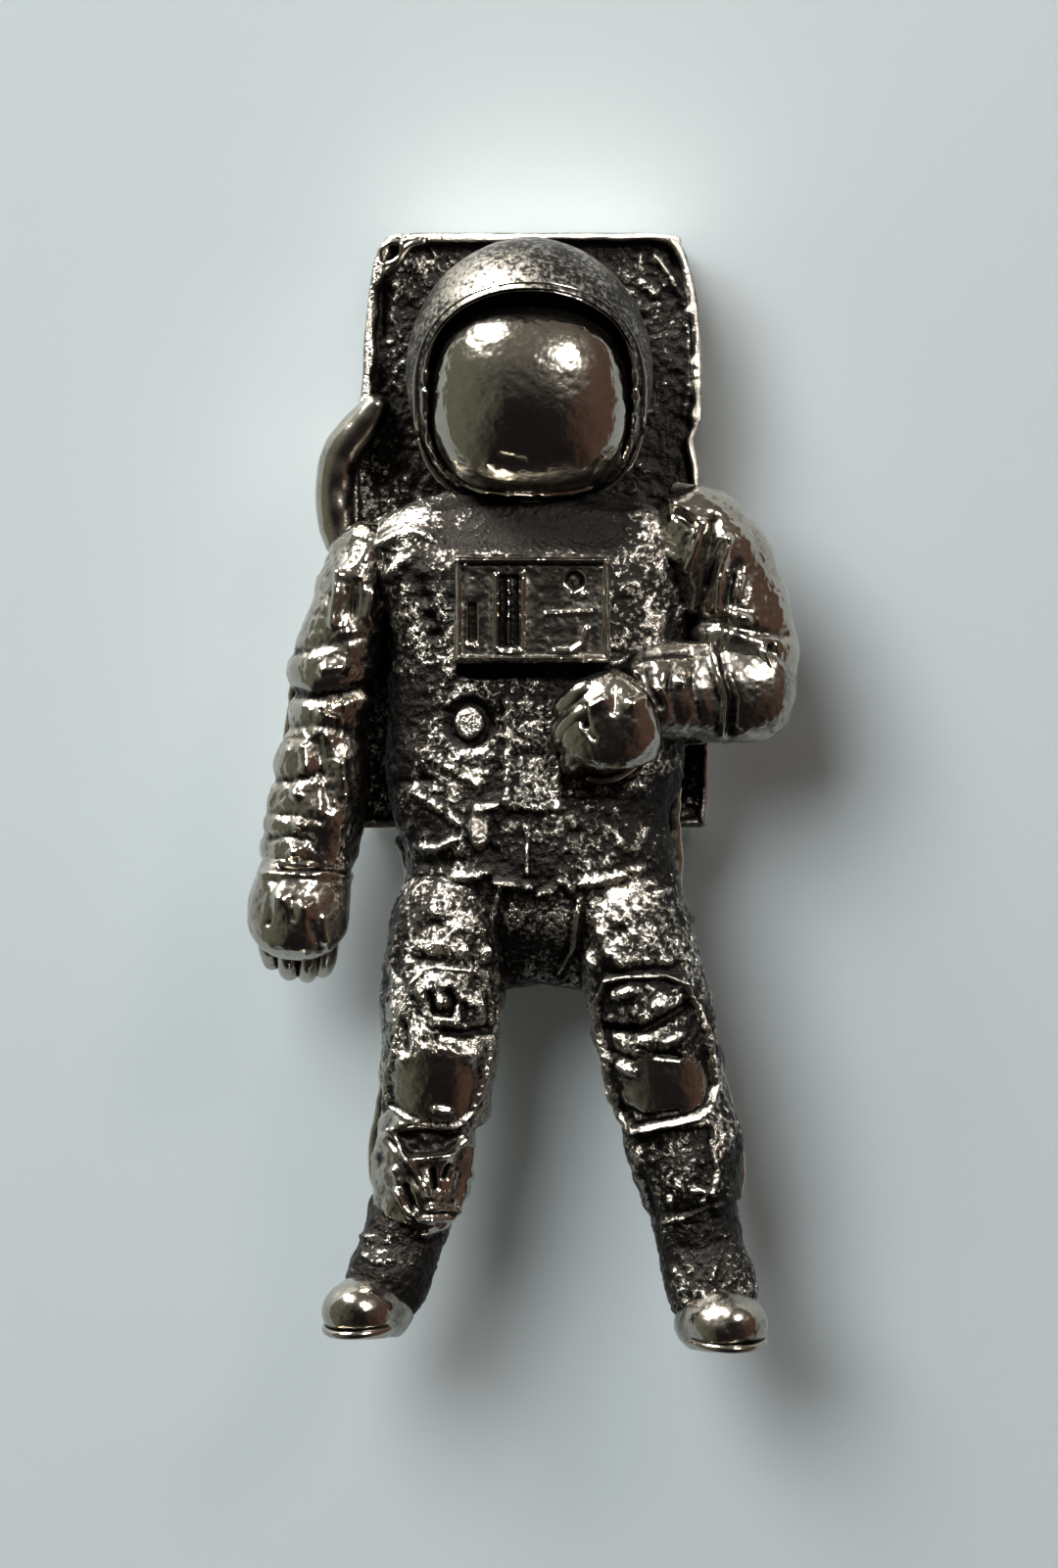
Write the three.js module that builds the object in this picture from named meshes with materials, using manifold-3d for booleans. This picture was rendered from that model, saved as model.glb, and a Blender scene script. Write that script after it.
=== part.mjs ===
// A cast pewter astronaut pin badge: one solid casting, the tack soldered to its back pack, and the butterfly
// clutch that grips the tack. Millimetres. The origin is where the post's axis meets the rear face of the pack.
// +Z is up, +Y points away from the rear face along the post, and the figure faces -Y.

import * as THREE from "three";
import { mergeVertices } from "three/addons/utils/BufferGeometryUtils.js";
import Module from "manifold-3d";

const wasm = await Module();
wasm.setup();

// ---------------------------------------------------------------- driving dimensions
// The back pack is a tapered slab. The post stands postDrop below its top edge.
const pack = {
  height: 15.9,
  topWidth: 8.4,
  bottomWidth: 9.4,
  depth: 3.2,
  corner: 0.8,
  lip: 0.28,
  recess: 0.3,
  postDrop: 8.43,
  seamWidth: 0.25,
  seamDepth: 0.15,
};

// The helmet is an egg with a round-cornered window, and the visor domes out of a groove in it.
const helmet = { width: 6.56, height: 7.2, depth: 6.4, topDrop: 0.24, sunkInPack: 2.2 };
const visor = { width: 5.14, height: 4.92, corner: 2.0, bulge: 0.35, groove: 0.3, grooveDepth: 0.7, drop: 0.66 };
const collar = { width: 5.8, depth: 5.0, height: 1.3 };

// The suit's trunk: widths from the neck down to the crotch at even steps, and how flat it is front to back.
const trunk = {
  top: 1.0,
  length: 12.8,
  widths: [5.6, 8.4, 8.2, 7.8, 7.5, 7.4, 7.6, 7.4, 2.6],
  flatness: 0.55,
  axisDepth: 3.9,
  axisShift: 0.15,
};
const chestUnit = { width: 4.1, height: 2.75, proud: 0.7, corner: 0.25, top: 0.34, bevel: 0.12 };

// Each limb part has a length, its radii from top to bottom, a lean in degrees towards +X and one forwards.
const armDepth = 4.0;
const rightArm = {
  shoulder: [-4.35, -0.3],
  upper: { length: 4.2, radii: [1.3, 1.25, 1.1], lean: -16, forward: 2 },
  fore: { length: 4.0, radii: [1.1, 1.15, 1.3], lean: -8, forward: 4 },
  cuff: { length: 0.7, radius: 1.38 },
  glove: { length: 1.5, radii: [1.2, 1.38, 1.15], lean: -2, forward: 4 },
};
const leftArm = {
  shoulder: [4.1, 0.7],
  upper: { length: 4.65, radii: [1.45, 1.35, 1.3], lean: 21, forward: 4 },
  fore: { length: 2.2, radii: [1.3, 1.35, 1.25], lean: -84, forward: 30 },
  cuff: { length: 0.6, radius: 1.36 },
  glove: { length: 1.9, radii: [1.2, 1.4, 1.15], lean: -52, forward: 14 },
};
const legDepth = 4.2;
const rightLeg = {
  hip: [-2.1, -9.6],
  thigh: { length: 6.0, radii: [1.75, 1.65, 1.5], lean: -7, forward: 0 },
  shin: { length: 3.2, radii: [1.5, 1.42, 1.1], lean: -13, forward: -2 },
  boot: { width: 2.3, height: 2.1, length: 3.4, turn: -28, outset: -0.85, reach: 0.7, drop: 1.36 },
  pocketWidth: 2.7,
};
const leftLeg = {
  hip: [2.35, -9.6],
  thigh: { length: 5.8, radii: [1.8, 1.75, 1.65], lean: 13, forward: 0 },
  shin: { length: 3.8, radii: [1.65, 1.6, 1.1], lean: 11, forward: -2 },
  boot: { width: 2.5, height: 2.2, length: 3.4, turn: 22, outset: 0.6, reach: 0.7, drop: 1.48 },
  pocketWidth: 3.1,
};
const pocket = { height: 4.1, taper: 0.8, proud: 0.35, corner: 0.8, drop: 0.62 };

// The hose comes out of the side of the pack and goes over the shoulder. Offsets from the pack's side edge.
const hose = { diameter: 1.05, route: [[0.5, 3.7], [-0.25, 3.2], [-0.8, 2.4], [-1.0, 1.5], [-0.85, 0.4], [-0.2, -0.5]] };

// The tack: a pad soldered to the pack, and a pointed post with a ring groove.
const pad = { diameter: 5.0, thickness: 0.5 };
const post = { diameter: 1.1, length: 8.0, point: 0.9, grooveDrop: 1.7, grooveWidth: 0.5, grooveDepth: 0.12 };
const solder = { width: 0.55, height: 0.36 };

// The clutch: a stamped disc, and a strip bent to a flat seat with a wing at each end.
const clutch = {
  gap: 1.5,
  diameter: 11.4,
  sheet: 0.3,
  boreClearance: 0.12,
  beadHeight: 0.22,
  beadRadius: 4.6,
  flangeLength: 4.0,
  flangeLip: 0.45,
};
const spring = {
  width: 4.4,
  sheet: 0.3,
  seatHalf: 4.0,
  bend: 0.6,
  earHeight: 3.2,
  earLean: 20,
  earRound: 0.45,
  armFall: 18,
  armPast: 1.4,
  wingWidth: 4.0,
  neckWidth: 1.95,
  neckStart: 1.9,
  slotHalf: 1.0,
  endBar: 0.4,
  passClearance: 0.3,
};

// Clearances: between pieces fixed face to face, and round pieces that slide past each other.
const rest = 0.02;
const slide = 0.07;
const roundSteps = 18;
const capSteps = 3;

// ---------------------------------------------------------------- solids from three.js geometry
const degrees = THREE.MathUtils.degToRad;

function solidOf(geometry) {
  const bare = geometry.index ? geometry.toNonIndexed() : geometry.clone();
  for (const name of Object.keys(bare.attributes)) {
    if (name !== "position") bare.deleteAttribute(name);
  }
  const merged = mergeVertices(bare, 1e-5);
  const vertProperties = new Float32Array(merged.attributes.position.array);
  const triVerts = new Uint32Array(merged.index.array);
  return new wasm.Manifold(new wasm.Mesh({ numProp: 3, vertProperties, triVerts }));
}

function geometryOf(solid) {
  const mesh = solid.getMesh();
  const geometry = new THREE.BufferGeometry();
  geometry.setAttribute("position", new THREE.BufferAttribute(mesh.vertProperties, 3));
  geometry.setIndex(new THREE.BufferAttribute(mesh.triVerts, 1));
  geometry.computeVertexNormals();
  return geometry;
}

function joined(solids) {
  return solids.reduce((whole, next) => whole.add(next));
}

// Unit vector of a limb that hangs down, leant towards +X and swung forwards towards -Y.
function limbDirection({ lean, forward }) {
  const flat = new THREE.Vector3(Math.sin(degrees(lean)), 0, -Math.cos(degrees(lean)));
  const down = Math.cos(degrees(forward));
  return flat.multiplyScalar(down).add(new THREE.Vector3(0, -Math.sin(degrees(forward)), 0)).normalize();
}

// A round bar with rounded ends whose radius follows the list given from start to end.
function limb(start, end, radii) {
  const length = start.distanceTo(end);
  const first = radii[0];
  const last = radii[radii.length - 1];
  const profile = [];
  for (let i = 0; i <= capSteps; i += 1) {
    const a = (Math.PI / 2 / capSteps) * i;
    profile.push(new THREE.Vector2(first * Math.sin(a), -first * Math.cos(a)));
  }
  for (let i = 1; i < radii.length - 1; i += 1) {
    profile.push(new THREE.Vector2(radii[i], (length * i) / (radii.length - 1)));
  }
  for (let i = 0; i <= capSteps; i += 1) {
    const a = (Math.PI / 2 / capSteps) * i;
    profile.push(new THREE.Vector2(last * Math.cos(a), length + last * Math.sin(a)));
  }
  profile[0].x = 0;
  profile[profile.length - 1].x = 0;
  const geometry = new THREE.LatheGeometry(profile, roundSteps);
  const along = end.clone().sub(start).normalize();
  geometry.applyQuaternion(new THREE.Quaternion().setFromUnitVectors(new THREE.Vector3(0, 1, 0), along));
  geometry.translate(start.x, start.y, start.z);
  return solidOf(geometry);
}

function egg(centre, width, depth, height, turn = new THREE.Euler()) {
  const geometry = new THREE.SphereGeometry(0.5, roundSteps, Math.round(roundSteps * 0.7));
  geometry.rotateX(Math.PI / 2);
  geometry.scale(width, depth, height);
  geometry.applyQuaternion(new THREE.Quaternion().setFromEuler(turn));
  geometry.translate(centre.x, centre.y, centre.z);
  return solidOf(geometry);
}

// Outline of a four-sided plate with rounded corners, its top and bottom widths apart, centred at (x, z).
function plateOutline(topWidth, bottomWidth, height, corner, x, z) {
  const corners = [
    [x - bottomWidth / 2, z - height / 2, 180],
    [x + bottomWidth / 2, z - height / 2, 270],
    [x + topWidth / 2, z + height / 2, 0],
    [x - topWidth / 2, z + height / 2, 90],
  ];
  const steps = 5;
  const points = [];
  for (const [cx, cz, from] of corners) {
    const inX = cx + (cx < x ? corner : -corner);
    const inZ = cz + (cz < z ? corner : -corner);
    for (let i = 0; i <= steps; i += 1) {
      const a = degrees(from + (90 * i) / steps);
      points.push(new THREE.Vector2(inX + corner * Math.cos(a), inZ + corner * Math.sin(a)));
    }
  }
  return new THREE.Shape(points);
}

// A flat shape drawn in X and Z, made solid from y = back towards the viewer at y = front.
function slab(shape, back, front, bevel = 0) {
  const geometry = new THREE.ExtrudeGeometry(shape, {
    depth: back - front - 2 * bevel,
    bevelEnabled: bevel > 0,
    bevelSize: bevel,
    bevelOffset: -bevel,
    bevelThickness: bevel,
    bevelSegments: 1,
    curveSegments: 6,
  });
  geometry.translate(0, 0, bevel);
  geometry.rotateX(Math.PI / 2);
  geometry.translate(0, back, 0);
  return solidOf(geometry);
}

// A shape turned round the post's axis, from [radius, y] pairs that close on themselves or end on the axis.
function turned(pairs, steps) {
  const profile = pairs.map(([radius, y]) => new THREE.Vector2(radius, y));
  return new THREE.LatheGeometry(profile, steps);
}

function pin(radius, low, high, x = 0, z = 0) {
  const geometry = new THREE.CylinderGeometry(radius, radius, high - low, 28);
  geometry.translate(x, (low + high) / 2, z);
  return solidOf(geometry);
}

function block(lowX, highX, lowY, highY, lowZ, highZ) {
  const geometry = new THREE.BoxGeometry(highX - lowX, highY - lowY, highZ - lowZ);
  geometry.translate((lowX + highX) / 2, (lowY + highY) / 2, (lowZ + highZ) / 2);
  return solidOf(geometry);
}

// ---------------------------------------------------------------- the casting
const packTop = pack.postDrop;
const packMiddle = packTop - pack.height / 2;
const clutchReach = clutch.diameter / 2 + 0.25;

function packSolid() {
  const outline = (inset) =>
    plateOutline(
      pack.topWidth - 2 * inset,
      pack.bottomWidth - 2 * inset,
      pack.height - 2 * inset,
      pack.corner,
      0,
      packMiddle,
    );
  const body = slab(outline(0), 0, -pack.depth, pack.lip / 2);
  const recess = slab(outline(pack.lip), -pack.depth + pack.recess, -pack.depth - 1);
  const half = pack.bottomWidth;
  const seam = block(-half, half, -pack.seamDepth, 1, clutchReach, clutchReach + pack.seamWidth);
  return body.subtract(recess).subtract(seam);
}

const helmetCentre = new THREE.Vector3(
  -0.09,
  -pack.depth - helmet.depth / 2 + helmet.sunkInPack,
  packTop - helmet.topDrop - helmet.height / 2,
);

function helmetSolid() {
  const shell = egg(helmetCentre, helmet.width, helmet.depth, helmet.height);
  const front = helmetCentre.y - helmet.depth / 2;
  const middleZ = helmetCentre.z - visor.drop;
  const window = (grow) =>
    plateOutline(
      visor.width + 2 * grow,
      visor.width + 2 * grow,
      visor.height + 2 * grow,
      visor.corner + grow,
      helmetCentre.x,
      middleZ,
    );
  const grooveFloor = 2 * visor.grooveDepth;
  const groove = slab(window(visor.groove), front + grooveFloor, front - 2)
    .subtract(slab(window(0), front + grooveFloor + 1, front - 3));
  const domeCentre = new THREE.Vector3(helmetCentre.x, helmetCentre.y - visor.bulge, middleZ);
  const dome = egg(domeCentre, visor.width * 1.12, helmet.depth, visor.height * 1.12)
    .intersect(slab(window(0), helmetCentre.y, front - 2));
  return shell.subtract(groove).add(dome);
}

function trunkSolid() {
  const step = trunk.length / (trunk.widths.length - 1);
  const half = trunk.widths.map((width) => width / 2);
  const profile = [new THREE.Vector2(0, trunk.top)];
  half.forEach((radius, i) => profile.push(new THREE.Vector2(radius, trunk.top - step * i)));
  profile.push(new THREE.Vector2(0, trunk.top - trunk.length));
  const geometry = new THREE.LatheGeometry(profile.reverse(), roundSteps + 6);
  geometry.rotateX(Math.PI / 2);
  geometry.scale(1, trunk.flatness, 1);
  geometry.translate(trunk.axisShift, -trunk.axisDepth, 0);
  return solidOf(geometry);
}

function chestUnitSolid() {
  const middle = -chestUnit.top - chestUnit.height / 2;
  const outline = plateOutline(chestUnit.width, chestUnit.width, chestUnit.height, chestUnit.corner, 0, middle);
  const chestFront = -trunk.axisDepth - (trunk.flatness * trunk.widths[2]) / 2;
  return slab(outline, -trunk.axisDepth, chestFront - chestUnit.proud, chestUnit.bevel);
}

// One arm from the shoulder down: upper arm, forearm, cuff ring and glove, each starting where the last ends.
function armSolid(arm) {
  const shoulder = new THREE.Vector3(arm.shoulder[0], -armDepth, arm.shoulder[1]);
  const elbow = shoulder.clone().addScaledVector(limbDirection(arm.upper), arm.upper.length);
  const along = limbDirection(arm.fore);
  const wrist = elbow.clone().addScaledVector(along, arm.fore.length);
  const cuffEnd = wrist.clone().addScaledVector(along, arm.cuff.length);
  const glovePath = limbDirection(arm.glove);
  const knuckles = cuffEnd.clone().addScaledVector(glovePath, arm.glove.length);
  const cuffRadii = [arm.cuff.radius * 0.8, arm.cuff.radius, arm.cuff.radius * 0.8];
  return joined([
    limb(shoulder, elbow, arm.upper.radii),
    limb(elbow, wrist, arm.fore.radii),
    limb(wrist, cuffEnd, cuffRadii),
    limb(cuffEnd, knuckles, arm.glove.radii),
  ]);
}

// One leg from the hip down: thigh with its strapped pocket, shin and boot. The boots point at the viewer.
function legSolid(leg) {
  const hip = new THREE.Vector3(leg.hip[0], -legDepth, leg.hip[1]);
  const knee = hip.clone().addScaledVector(limbDirection(leg.thigh), leg.thigh.length);
  const ankle = knee.clone().addScaledVector(limbDirection(leg.shin), leg.shin.length);
  const middle = hip.clone().lerp(knee, pocket.drop);
  const thighFront = -legDepth - leg.thigh.radii[1];
  const plate = plateOutline(
    leg.pocketWidth,
    leg.pocketWidth * pocket.taper,
    pocket.height,
    pocket.corner,
    middle.x,
    middle.z,
  );
  const { width, height, length, turn, outset, reach, drop } = leg.boot;
  const sole = new THREE.Vector3(ankle.x + outset, ankle.y - reach, ankle.z - drop);
  const ankleRadius = leg.shin.radii[2];
  return joined([
    limb(hip, knee, leg.thigh.radii),
    limb(knee, ankle, leg.shin.radii),
    slab(plate, -legDepth, thighFront - pocket.proud, chestUnit.bevel),
    egg(sole, width, length, height, new THREE.Euler(0, 0, degrees(turn))),
    limb(ankle, sole, [ankleRadius, ankleRadius * 0.9, height * 0.4]),
  ]);
}

// The pack's side edge at a height, where the hose starts.
function packEdge(z) {
  const share = (packTop - z) / pack.height;
  return (pack.topWidth + (pack.bottomWidth - pack.topWidth) * share) / 2;
}

function hoseSolid() {
  const points = hose.route.map(([out, z]) => new THREE.Vector3(-packEdge(z) + out, -pack.depth - 0.1, z));
  const ring = new THREE.Shape();
  ring.absarc(0, 0, hose.diameter / 2, 0, Math.PI * 2);
  const geometry = new THREE.ExtrudeGeometry(ring, {
    steps: 14,
    extrudePath: new THREE.CatmullRomCurve3(points),
    curveSegments: 5,
    bevelEnabled: false,
  });
  return solidOf(geometry);
}

function castingSolid() {
  const neck = new THREE.Vector3(helmetCentre.x, helmetCentre.y, helmetCentre.z - helmet.height / 2 + 0.1);
  return joined([
    packSolid(),
    helmetSolid(),
    egg(neck, collar.width, collar.depth, collar.height),
    trunkSolid(),
    chestUnitSolid(),
    armSolid(rightArm),
    armSolid(leftArm),
    legSolid(rightLeg),
    legSolid(leftLeg),
    hoseSolid(),
  ]);
}

// ---------------------------------------------------------------- the tack
const padFront = rest;
const padBack = padFront + pad.thickness;
const postTip = padBack + post.length;

function padGeometry() {
  const outer = pad.diameter / 2;
  const bore = post.diameter / 2 + rest;
  return turned([[bore, padFront], [outer, padFront], [outer, padBack], [bore, padBack], [bore, padFront]], 36);
}

function postGeometry() {
  const radius = post.diameter / 2;
  const waist = radius - post.grooveDepth;
  const grooveTop = postTip - post.grooveDrop;
  const grooveFoot = grooveTop - post.grooveWidth;
  const shoulder = postTip - post.point;
  const profile = [
    [0, padFront],
    [radius, padFront],
    [radius, grooveFoot],
    [waist, grooveFoot + post.grooveDepth],
    [waist, grooveTop - post.grooveDepth],
    [radius, grooveTop],
    [radius, shoulder],
    [radius * 0.5, shoulder + post.point * 0.6],
    [0, postTip],
  ];
  return turned(profile, 28);
}

// The solder climbs the pad's rim in a hollow curve and runs out on the casting.
function solderGeometry() {
  const inner = pad.diameter / 2 + rest;
  const profile = [
    [inner, rest],
    [inner + solder.width, rest],
    [inner + solder.width, rest + solder.height * 0.1],
    [inner + solder.width * 0.45, rest + solder.height * 0.35],
    [inner + solder.width * 0.15, rest + solder.height],
    [inner, rest + solder.height],
    [inner, rest],
  ];
  return turned(profile, 36);
}

// ---------------------------------------------------------------- the clutch
const discFront = padBack + clutch.gap;
const discBack = discFront + clutch.sheet;
const postHole = post.diameter / 2 + clutch.boreClearance;

// A stamped disc with a bead pressed forwards near its rim, and a flange folded over each long edge of the spring's seat.
function clutchBaseSolid() {
  const outer = clutch.diameter / 2;
  const rise = clutch.beadHeight;
  const bead = clutch.beadRadius;
  const disc = solidOf(turned(
    [
      [postHole, discFront],
      [bead - 0.5, discFront],
      [bead, discFront - rise],
      [bead + 0.5, discFront],
      [outer, discFront],
      [outer, discBack],
      [bead + 0.5, discBack],
      [bead, discBack - rise],
      [bead - 0.5, discBack],
      [postHole, discBack],
      [postHole, discFront],
    ],
    44,
  ));
  const wall = spring.width / 2 + slide;
  const seatTop = discBack + rest + spring.sheet;
  const half = clutch.flangeLength / 2;
  const foot = discBack - clutch.sheet / 2;
  const lipFoot = seatTop + rest;
  const lipTop = lipFoot + clutch.sheet;
  const pieces = [disc];
  for (const side of [-1, 1]) {
    const inner = side * wall;
    const outside = side * (wall + clutch.sheet);
    const lip = side * (wall - clutch.flangeLip);
    const low = Math.min(inner, outside);
    const high = Math.max(inner, outside);
    pieces.push(block(-half, half, foot, lipTop, low, high));
    pieces.push(block(-half, half, lipFoot, lipTop, Math.min(lip, outside), Math.max(lip, outside)));
  }
  return joined(pieces);
}

const seatMiddle = discBack + rest + spring.sheet / 2;
const bendCentre = { x: spring.seatHalf, y: seatMiddle + spring.bend };

// A strip of sheet whose middle line runs through the points given in X and Y, and whose width lies along Z.
function strip(points, thickness, width) {
  const count = points.length;
  const normals = points.map((point, i) => {
    const before = points[Math.max(i - 1, 0)];
    const after = points[Math.min(i + 1, count - 1)];
    const run = after.clone().sub(before).normalize();
    return new THREE.Vector2(-run.y, run.x);
  });
  const left = points.map((point, i) => point.clone().addScaledVector(normals[i], thickness / 2));
  const right = points.map((point, i) => point.clone().addScaledVector(normals[i], -thickness / 2));
  const outline = new THREE.Shape([...left, ...right.reverse()]);
  const geometry = new THREE.ExtrudeGeometry(outline, { depth: width, bevelEnabled: false });
  geometry.translate(0, 0, -width / 2);
  return solidOf(geometry);
}

// Points on an arc about (x, y), from one angle to another in degrees.
function arc(x, y, radius, from, to, steps) {
  return Array.from({ length: steps + 1 }, (_, i) => {
    const a = degrees(from + ((to - from) * i) / steps);
    return new THREE.Vector2(x + radius * Math.cos(a), y + radius * Math.sin(a));
  });
}

function springSeatSolid() {
  const half = spring.seatHalf;
  const ends = [new THREE.Vector2(-half, seatMiddle), new THREE.Vector2(half, seatMiddle)];
  const flat = strip(ends, spring.sheet, spring.width);
  return flat.subtract(pin(postHole, discFront, discBack + 1));
}

// The middle line of the right-hand wing: up round the bend, up the ear, over its round top, and down the arm
// that crosses the post.
function wingLine() {
  const { x, y } = bendCentre;
  const gapAngle = THREE.MathUtils.radToDeg(slide / spring.bend);
  const leave = -spring.earLean;
  const bend = arc(x, y, spring.bend, -90 + gapAngle, leave, 5);
  const foot = bend[bend.length - 1];
  const up = new THREE.Vector2(Math.sin(degrees(spring.earLean)), Math.cos(degrees(spring.earLean)));
  const earTop = foot.clone().addScaledVector(up, spring.earHeight);
  const inward = new THREE.Vector2(-up.y, up.x);
  const roundCentre = earTop.clone().addScaledVector(inward, spring.earRound);
  const turn = arc(roundCentre.x, roundCentre.y, spring.earRound, leave, 90 + spring.armFall, 6);
  const armStart = turn[turn.length - 1];
  const fall = degrees(spring.armFall);
  const armLength = (armStart.x + spring.armPast) / Math.cos(fall);
  const armEnd = armStart.clone().add(new THREE.Vector2(-Math.cos(fall), -Math.sin(fall)).multiplyScalar(armLength));
  return [...bend, ...turn, armEnd];
}

// A wing is full width down to the crossing. The right wing narrows to a neck with a slot for the post, and
// passes through the window in the left wing's arm, which the post also passes through.
function wingSolid(side) {
  const line = wingLine().map((point) => new THREE.Vector2(side * point.x, point.y));
  const sheet = strip(line, spring.sheet, spring.wingWidth);
  const low = discBack;
  const high = bendCentre.y + 2 * spring.earHeight;
  const across = (from, to, halfWidth, centre = 0) => {
    const ends = [side * from, side * to];
    return block(Math.min(...ends), Math.max(...ends), low, high, centre - halfWidth, centre + halfWidth);
  };
  const tail = -spring.armPast;
  if (side < 0) {
    const window = spring.neckWidth / 2 + spring.passClearance;
    return sheet.subtract(across(tail + spring.endBar, spring.neckStart, window));
  }
  const beside = spring.wingWidth / 2;
  const centre = spring.neckWidth / 2 + beside;
  const slot = across(-spring.slotHalf, spring.slotHalf, post.diameter / 2 + slide);
  return sheet
    .subtract(across(tail - 1, spring.neckStart, beside, centre))
    .subtract(across(tail - 1, spring.neckStart, beside, -centre))
    .subtract(slot);
}

// ---------------------------------------------------------------- materials and the assembly
function metal(color, roughness) {
  return new THREE.MeshStandardMaterial({ color, roughness, metalness: 1 });
}

const antiquePewter = metal(0x807970, 0.32);
const platedSteel = metal(0xc9cacc, 0.28);
const softSolder = metal(0xa9abae, 0.42);
const platedBrass = metal(0xd0cdc4, 0.26);

function piece(name, geometry, material) {
  const mesh = new THREE.Mesh(geometry, material);
  mesh.name = name;
  return mesh;
}

const badge = new THREE.Group();

const figure = new THREE.Group();
figure.add(piece("figure_casting", geometryOf(castingSolid()), antiquePewter));
badge.add(figure);

const tack = new THREE.Group();
tack.add(piece("post_pad", geometryOf(solidOf(padGeometry())), platedSteel));
tack.add(piece("tack_post", geometryOf(solidOf(postGeometry())), platedSteel));
tack.add(piece("solder_fillet", geometryOf(solidOf(solderGeometry())), softSolder));
badge.add(tack);

const grip = new THREE.Group();
grip.add(piece("clutch_base", geometryOf(clutchBaseSolid()), platedBrass));
grip.add(piece("clutch_spring_seat", geometryOf(springSeatSolid()), platedBrass));
grip.add(piece("clutch_wing_left", geometryOf(wingSolid(-1)), platedBrass));
grip.add(piece("clutch_wing_right", geometryOf(wingSolid(1)), platedBrass));
badge.add(grip);

export default badge;
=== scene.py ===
import math

import bpy
import numpy as np
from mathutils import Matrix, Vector


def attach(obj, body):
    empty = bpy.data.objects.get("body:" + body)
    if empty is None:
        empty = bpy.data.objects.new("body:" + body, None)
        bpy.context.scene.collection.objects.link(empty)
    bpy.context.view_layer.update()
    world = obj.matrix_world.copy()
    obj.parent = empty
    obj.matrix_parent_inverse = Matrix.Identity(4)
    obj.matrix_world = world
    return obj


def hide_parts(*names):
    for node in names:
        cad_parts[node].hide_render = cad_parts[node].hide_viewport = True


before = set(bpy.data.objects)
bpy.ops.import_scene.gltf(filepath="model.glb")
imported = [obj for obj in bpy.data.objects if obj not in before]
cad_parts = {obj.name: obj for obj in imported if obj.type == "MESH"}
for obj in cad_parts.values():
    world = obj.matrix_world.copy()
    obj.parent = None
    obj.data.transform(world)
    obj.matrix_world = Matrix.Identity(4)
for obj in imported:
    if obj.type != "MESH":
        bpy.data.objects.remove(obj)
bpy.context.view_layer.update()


# ---------------------------------------------------------------- back pack
# The pack is the rear slab of the casting: a tapered block whose front has a raised lip round a rough
# panel. It is cast pewter, blackened with acid and polished back, so hollows stay black and high spots
# shine.

MM = 0.001


def mottle(points, size, seed):
    """Smooth random field from -1 to 1: lattice values a size apart, blended with the weight 3t^2 -
    2t^3."""
    cells = 48
    table = np.random.default_rng(seed).random((cells, cells, cells))
    p = points / size + 1000.0
    low = np.floor(p).astype(int)
    f = p - low
    f = f * f * (3 - 2 * f)
    total = np.zeros(points.shape[:-1])
    for corner in range(8):
        side = np.array([corner & 1, corner >> 1 & 1, corner >> 2 & 1])
        share = np.where(side, f, 1 - f).prod(axis=-1)
        at = (low + side) % cells
        total += share * table[at[..., 0], at[..., 1], at[..., 2]]
    return 2 * total - 1


def grit(points, size, seed):
    """Three octaves of mottle, each half the size and 0.6 times the height of the last."""
    return sum(mottle(points, size / 2**k, seed + k) * 0.6**k for k in range(3)) / 1.4


def ease(x, low, high):
    """0 below low, 1 above high, and 3t^2 - 2t^3 between."""
    t = np.clip((x - low) / (high - low), 0, 1)
    return t * t * (3 - 2 * t)


def spline(at, knots, values):
    """Smooth curve through the values at the knots: cubic Hermite pieces, slopes from the neighbours."""
    knots, values = np.asarray(knots, float), np.asarray(values, float)
    slope = np.gradient(values, knots)
    k = np.clip(np.searchsorted(knots, at) - 1, 0, len(knots) - 2)
    w = knots[k + 1] - knots[k]
    t = np.clip((at - knots[k]) / w, 0, 1)
    a, b = (1 + 2 * t) * (1 - t) ** 2, t * t * (3 - 2 * t)
    leave, arrive = t * (1 - t) ** 2 * slope[k], t * t * (1 - t) * slope[k + 1]
    return a * values[k] + b * values[k + 1] + w * (leave - arrive)


def gap(x, z, route):
    """Distance from each point (x, z) to a line through the route's points, given as x, z, x, z and so
    on."""
    route = np.reshape(route, (-1, 2))
    best = np.full(np.shape(x), 1e9)
    for (ax, az), (bx, bz) in zip(route, route[1:] if len(route) > 1 else route):
        dx, dz = bx - ax, bz - az
        t = np.clip(((x - ax) * dx + (z - az) * dz) / (dx * dx + dz * dz + 1e-12), 0, 1)
        best = np.minimum(best, np.hypot(x - ax - t * dx, z - az - t * dz))
    return best


def folds(x, z, *lines):
    """Sum of ridges, each (height, width, x, z, x, z and so on). A ridge falls off from its line as
    exp(-(distance / width)^2), and a height below zero makes it a groove."""
    total = np.zeros(np.shape(x))
    for height, width, *route in lines:
        total += height * np.exp(-(gap(x, z, route) / width) ** 2)
    return total


def oval(x, z, cx, cz, rx, rz, soft=0.25):
    """1 inside an ellipse, 0 outside, with an edge a soft share of its size wide."""
    r = np.hypot((x - cx) / rx, (z - cz) / rz)
    return 1 - ease(r, 1 - soft, 1 + soft)


def outward(rings):
    """Unit normals of a grid of rings: the cross product of the steps round and along it."""
    normal = np.cross(np.roll(rings, -1, axis=1) - np.roll(rings, 1, axis=1), np.gradient(rings, axis=0))
    normal /= np.maximum(np.linalg.norm(normal, axis=-1, keepdims=True), 1e-12)
    middle = rings.mean(axis=1, keepdims=True)
    return normal if (normal * (rings - middle)).sum() > 0 else -normal


def blurred(values, reach):
    """Moving average over reach cells each way, round the ring and along it."""
    total = sum(np.roll(values, k, axis=1) for k in range(-reach, reach + 1)) / (2 * reach + 1)
    padded = np.pad(total, ((reach + 1, reach), (0, 0)), mode="edge")
    sums = np.cumsum(padded, axis=0)
    return (sums[2 * reach + 1:] - sums[:-2 * reach - 1]) / (2 * reach + 1)


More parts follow.
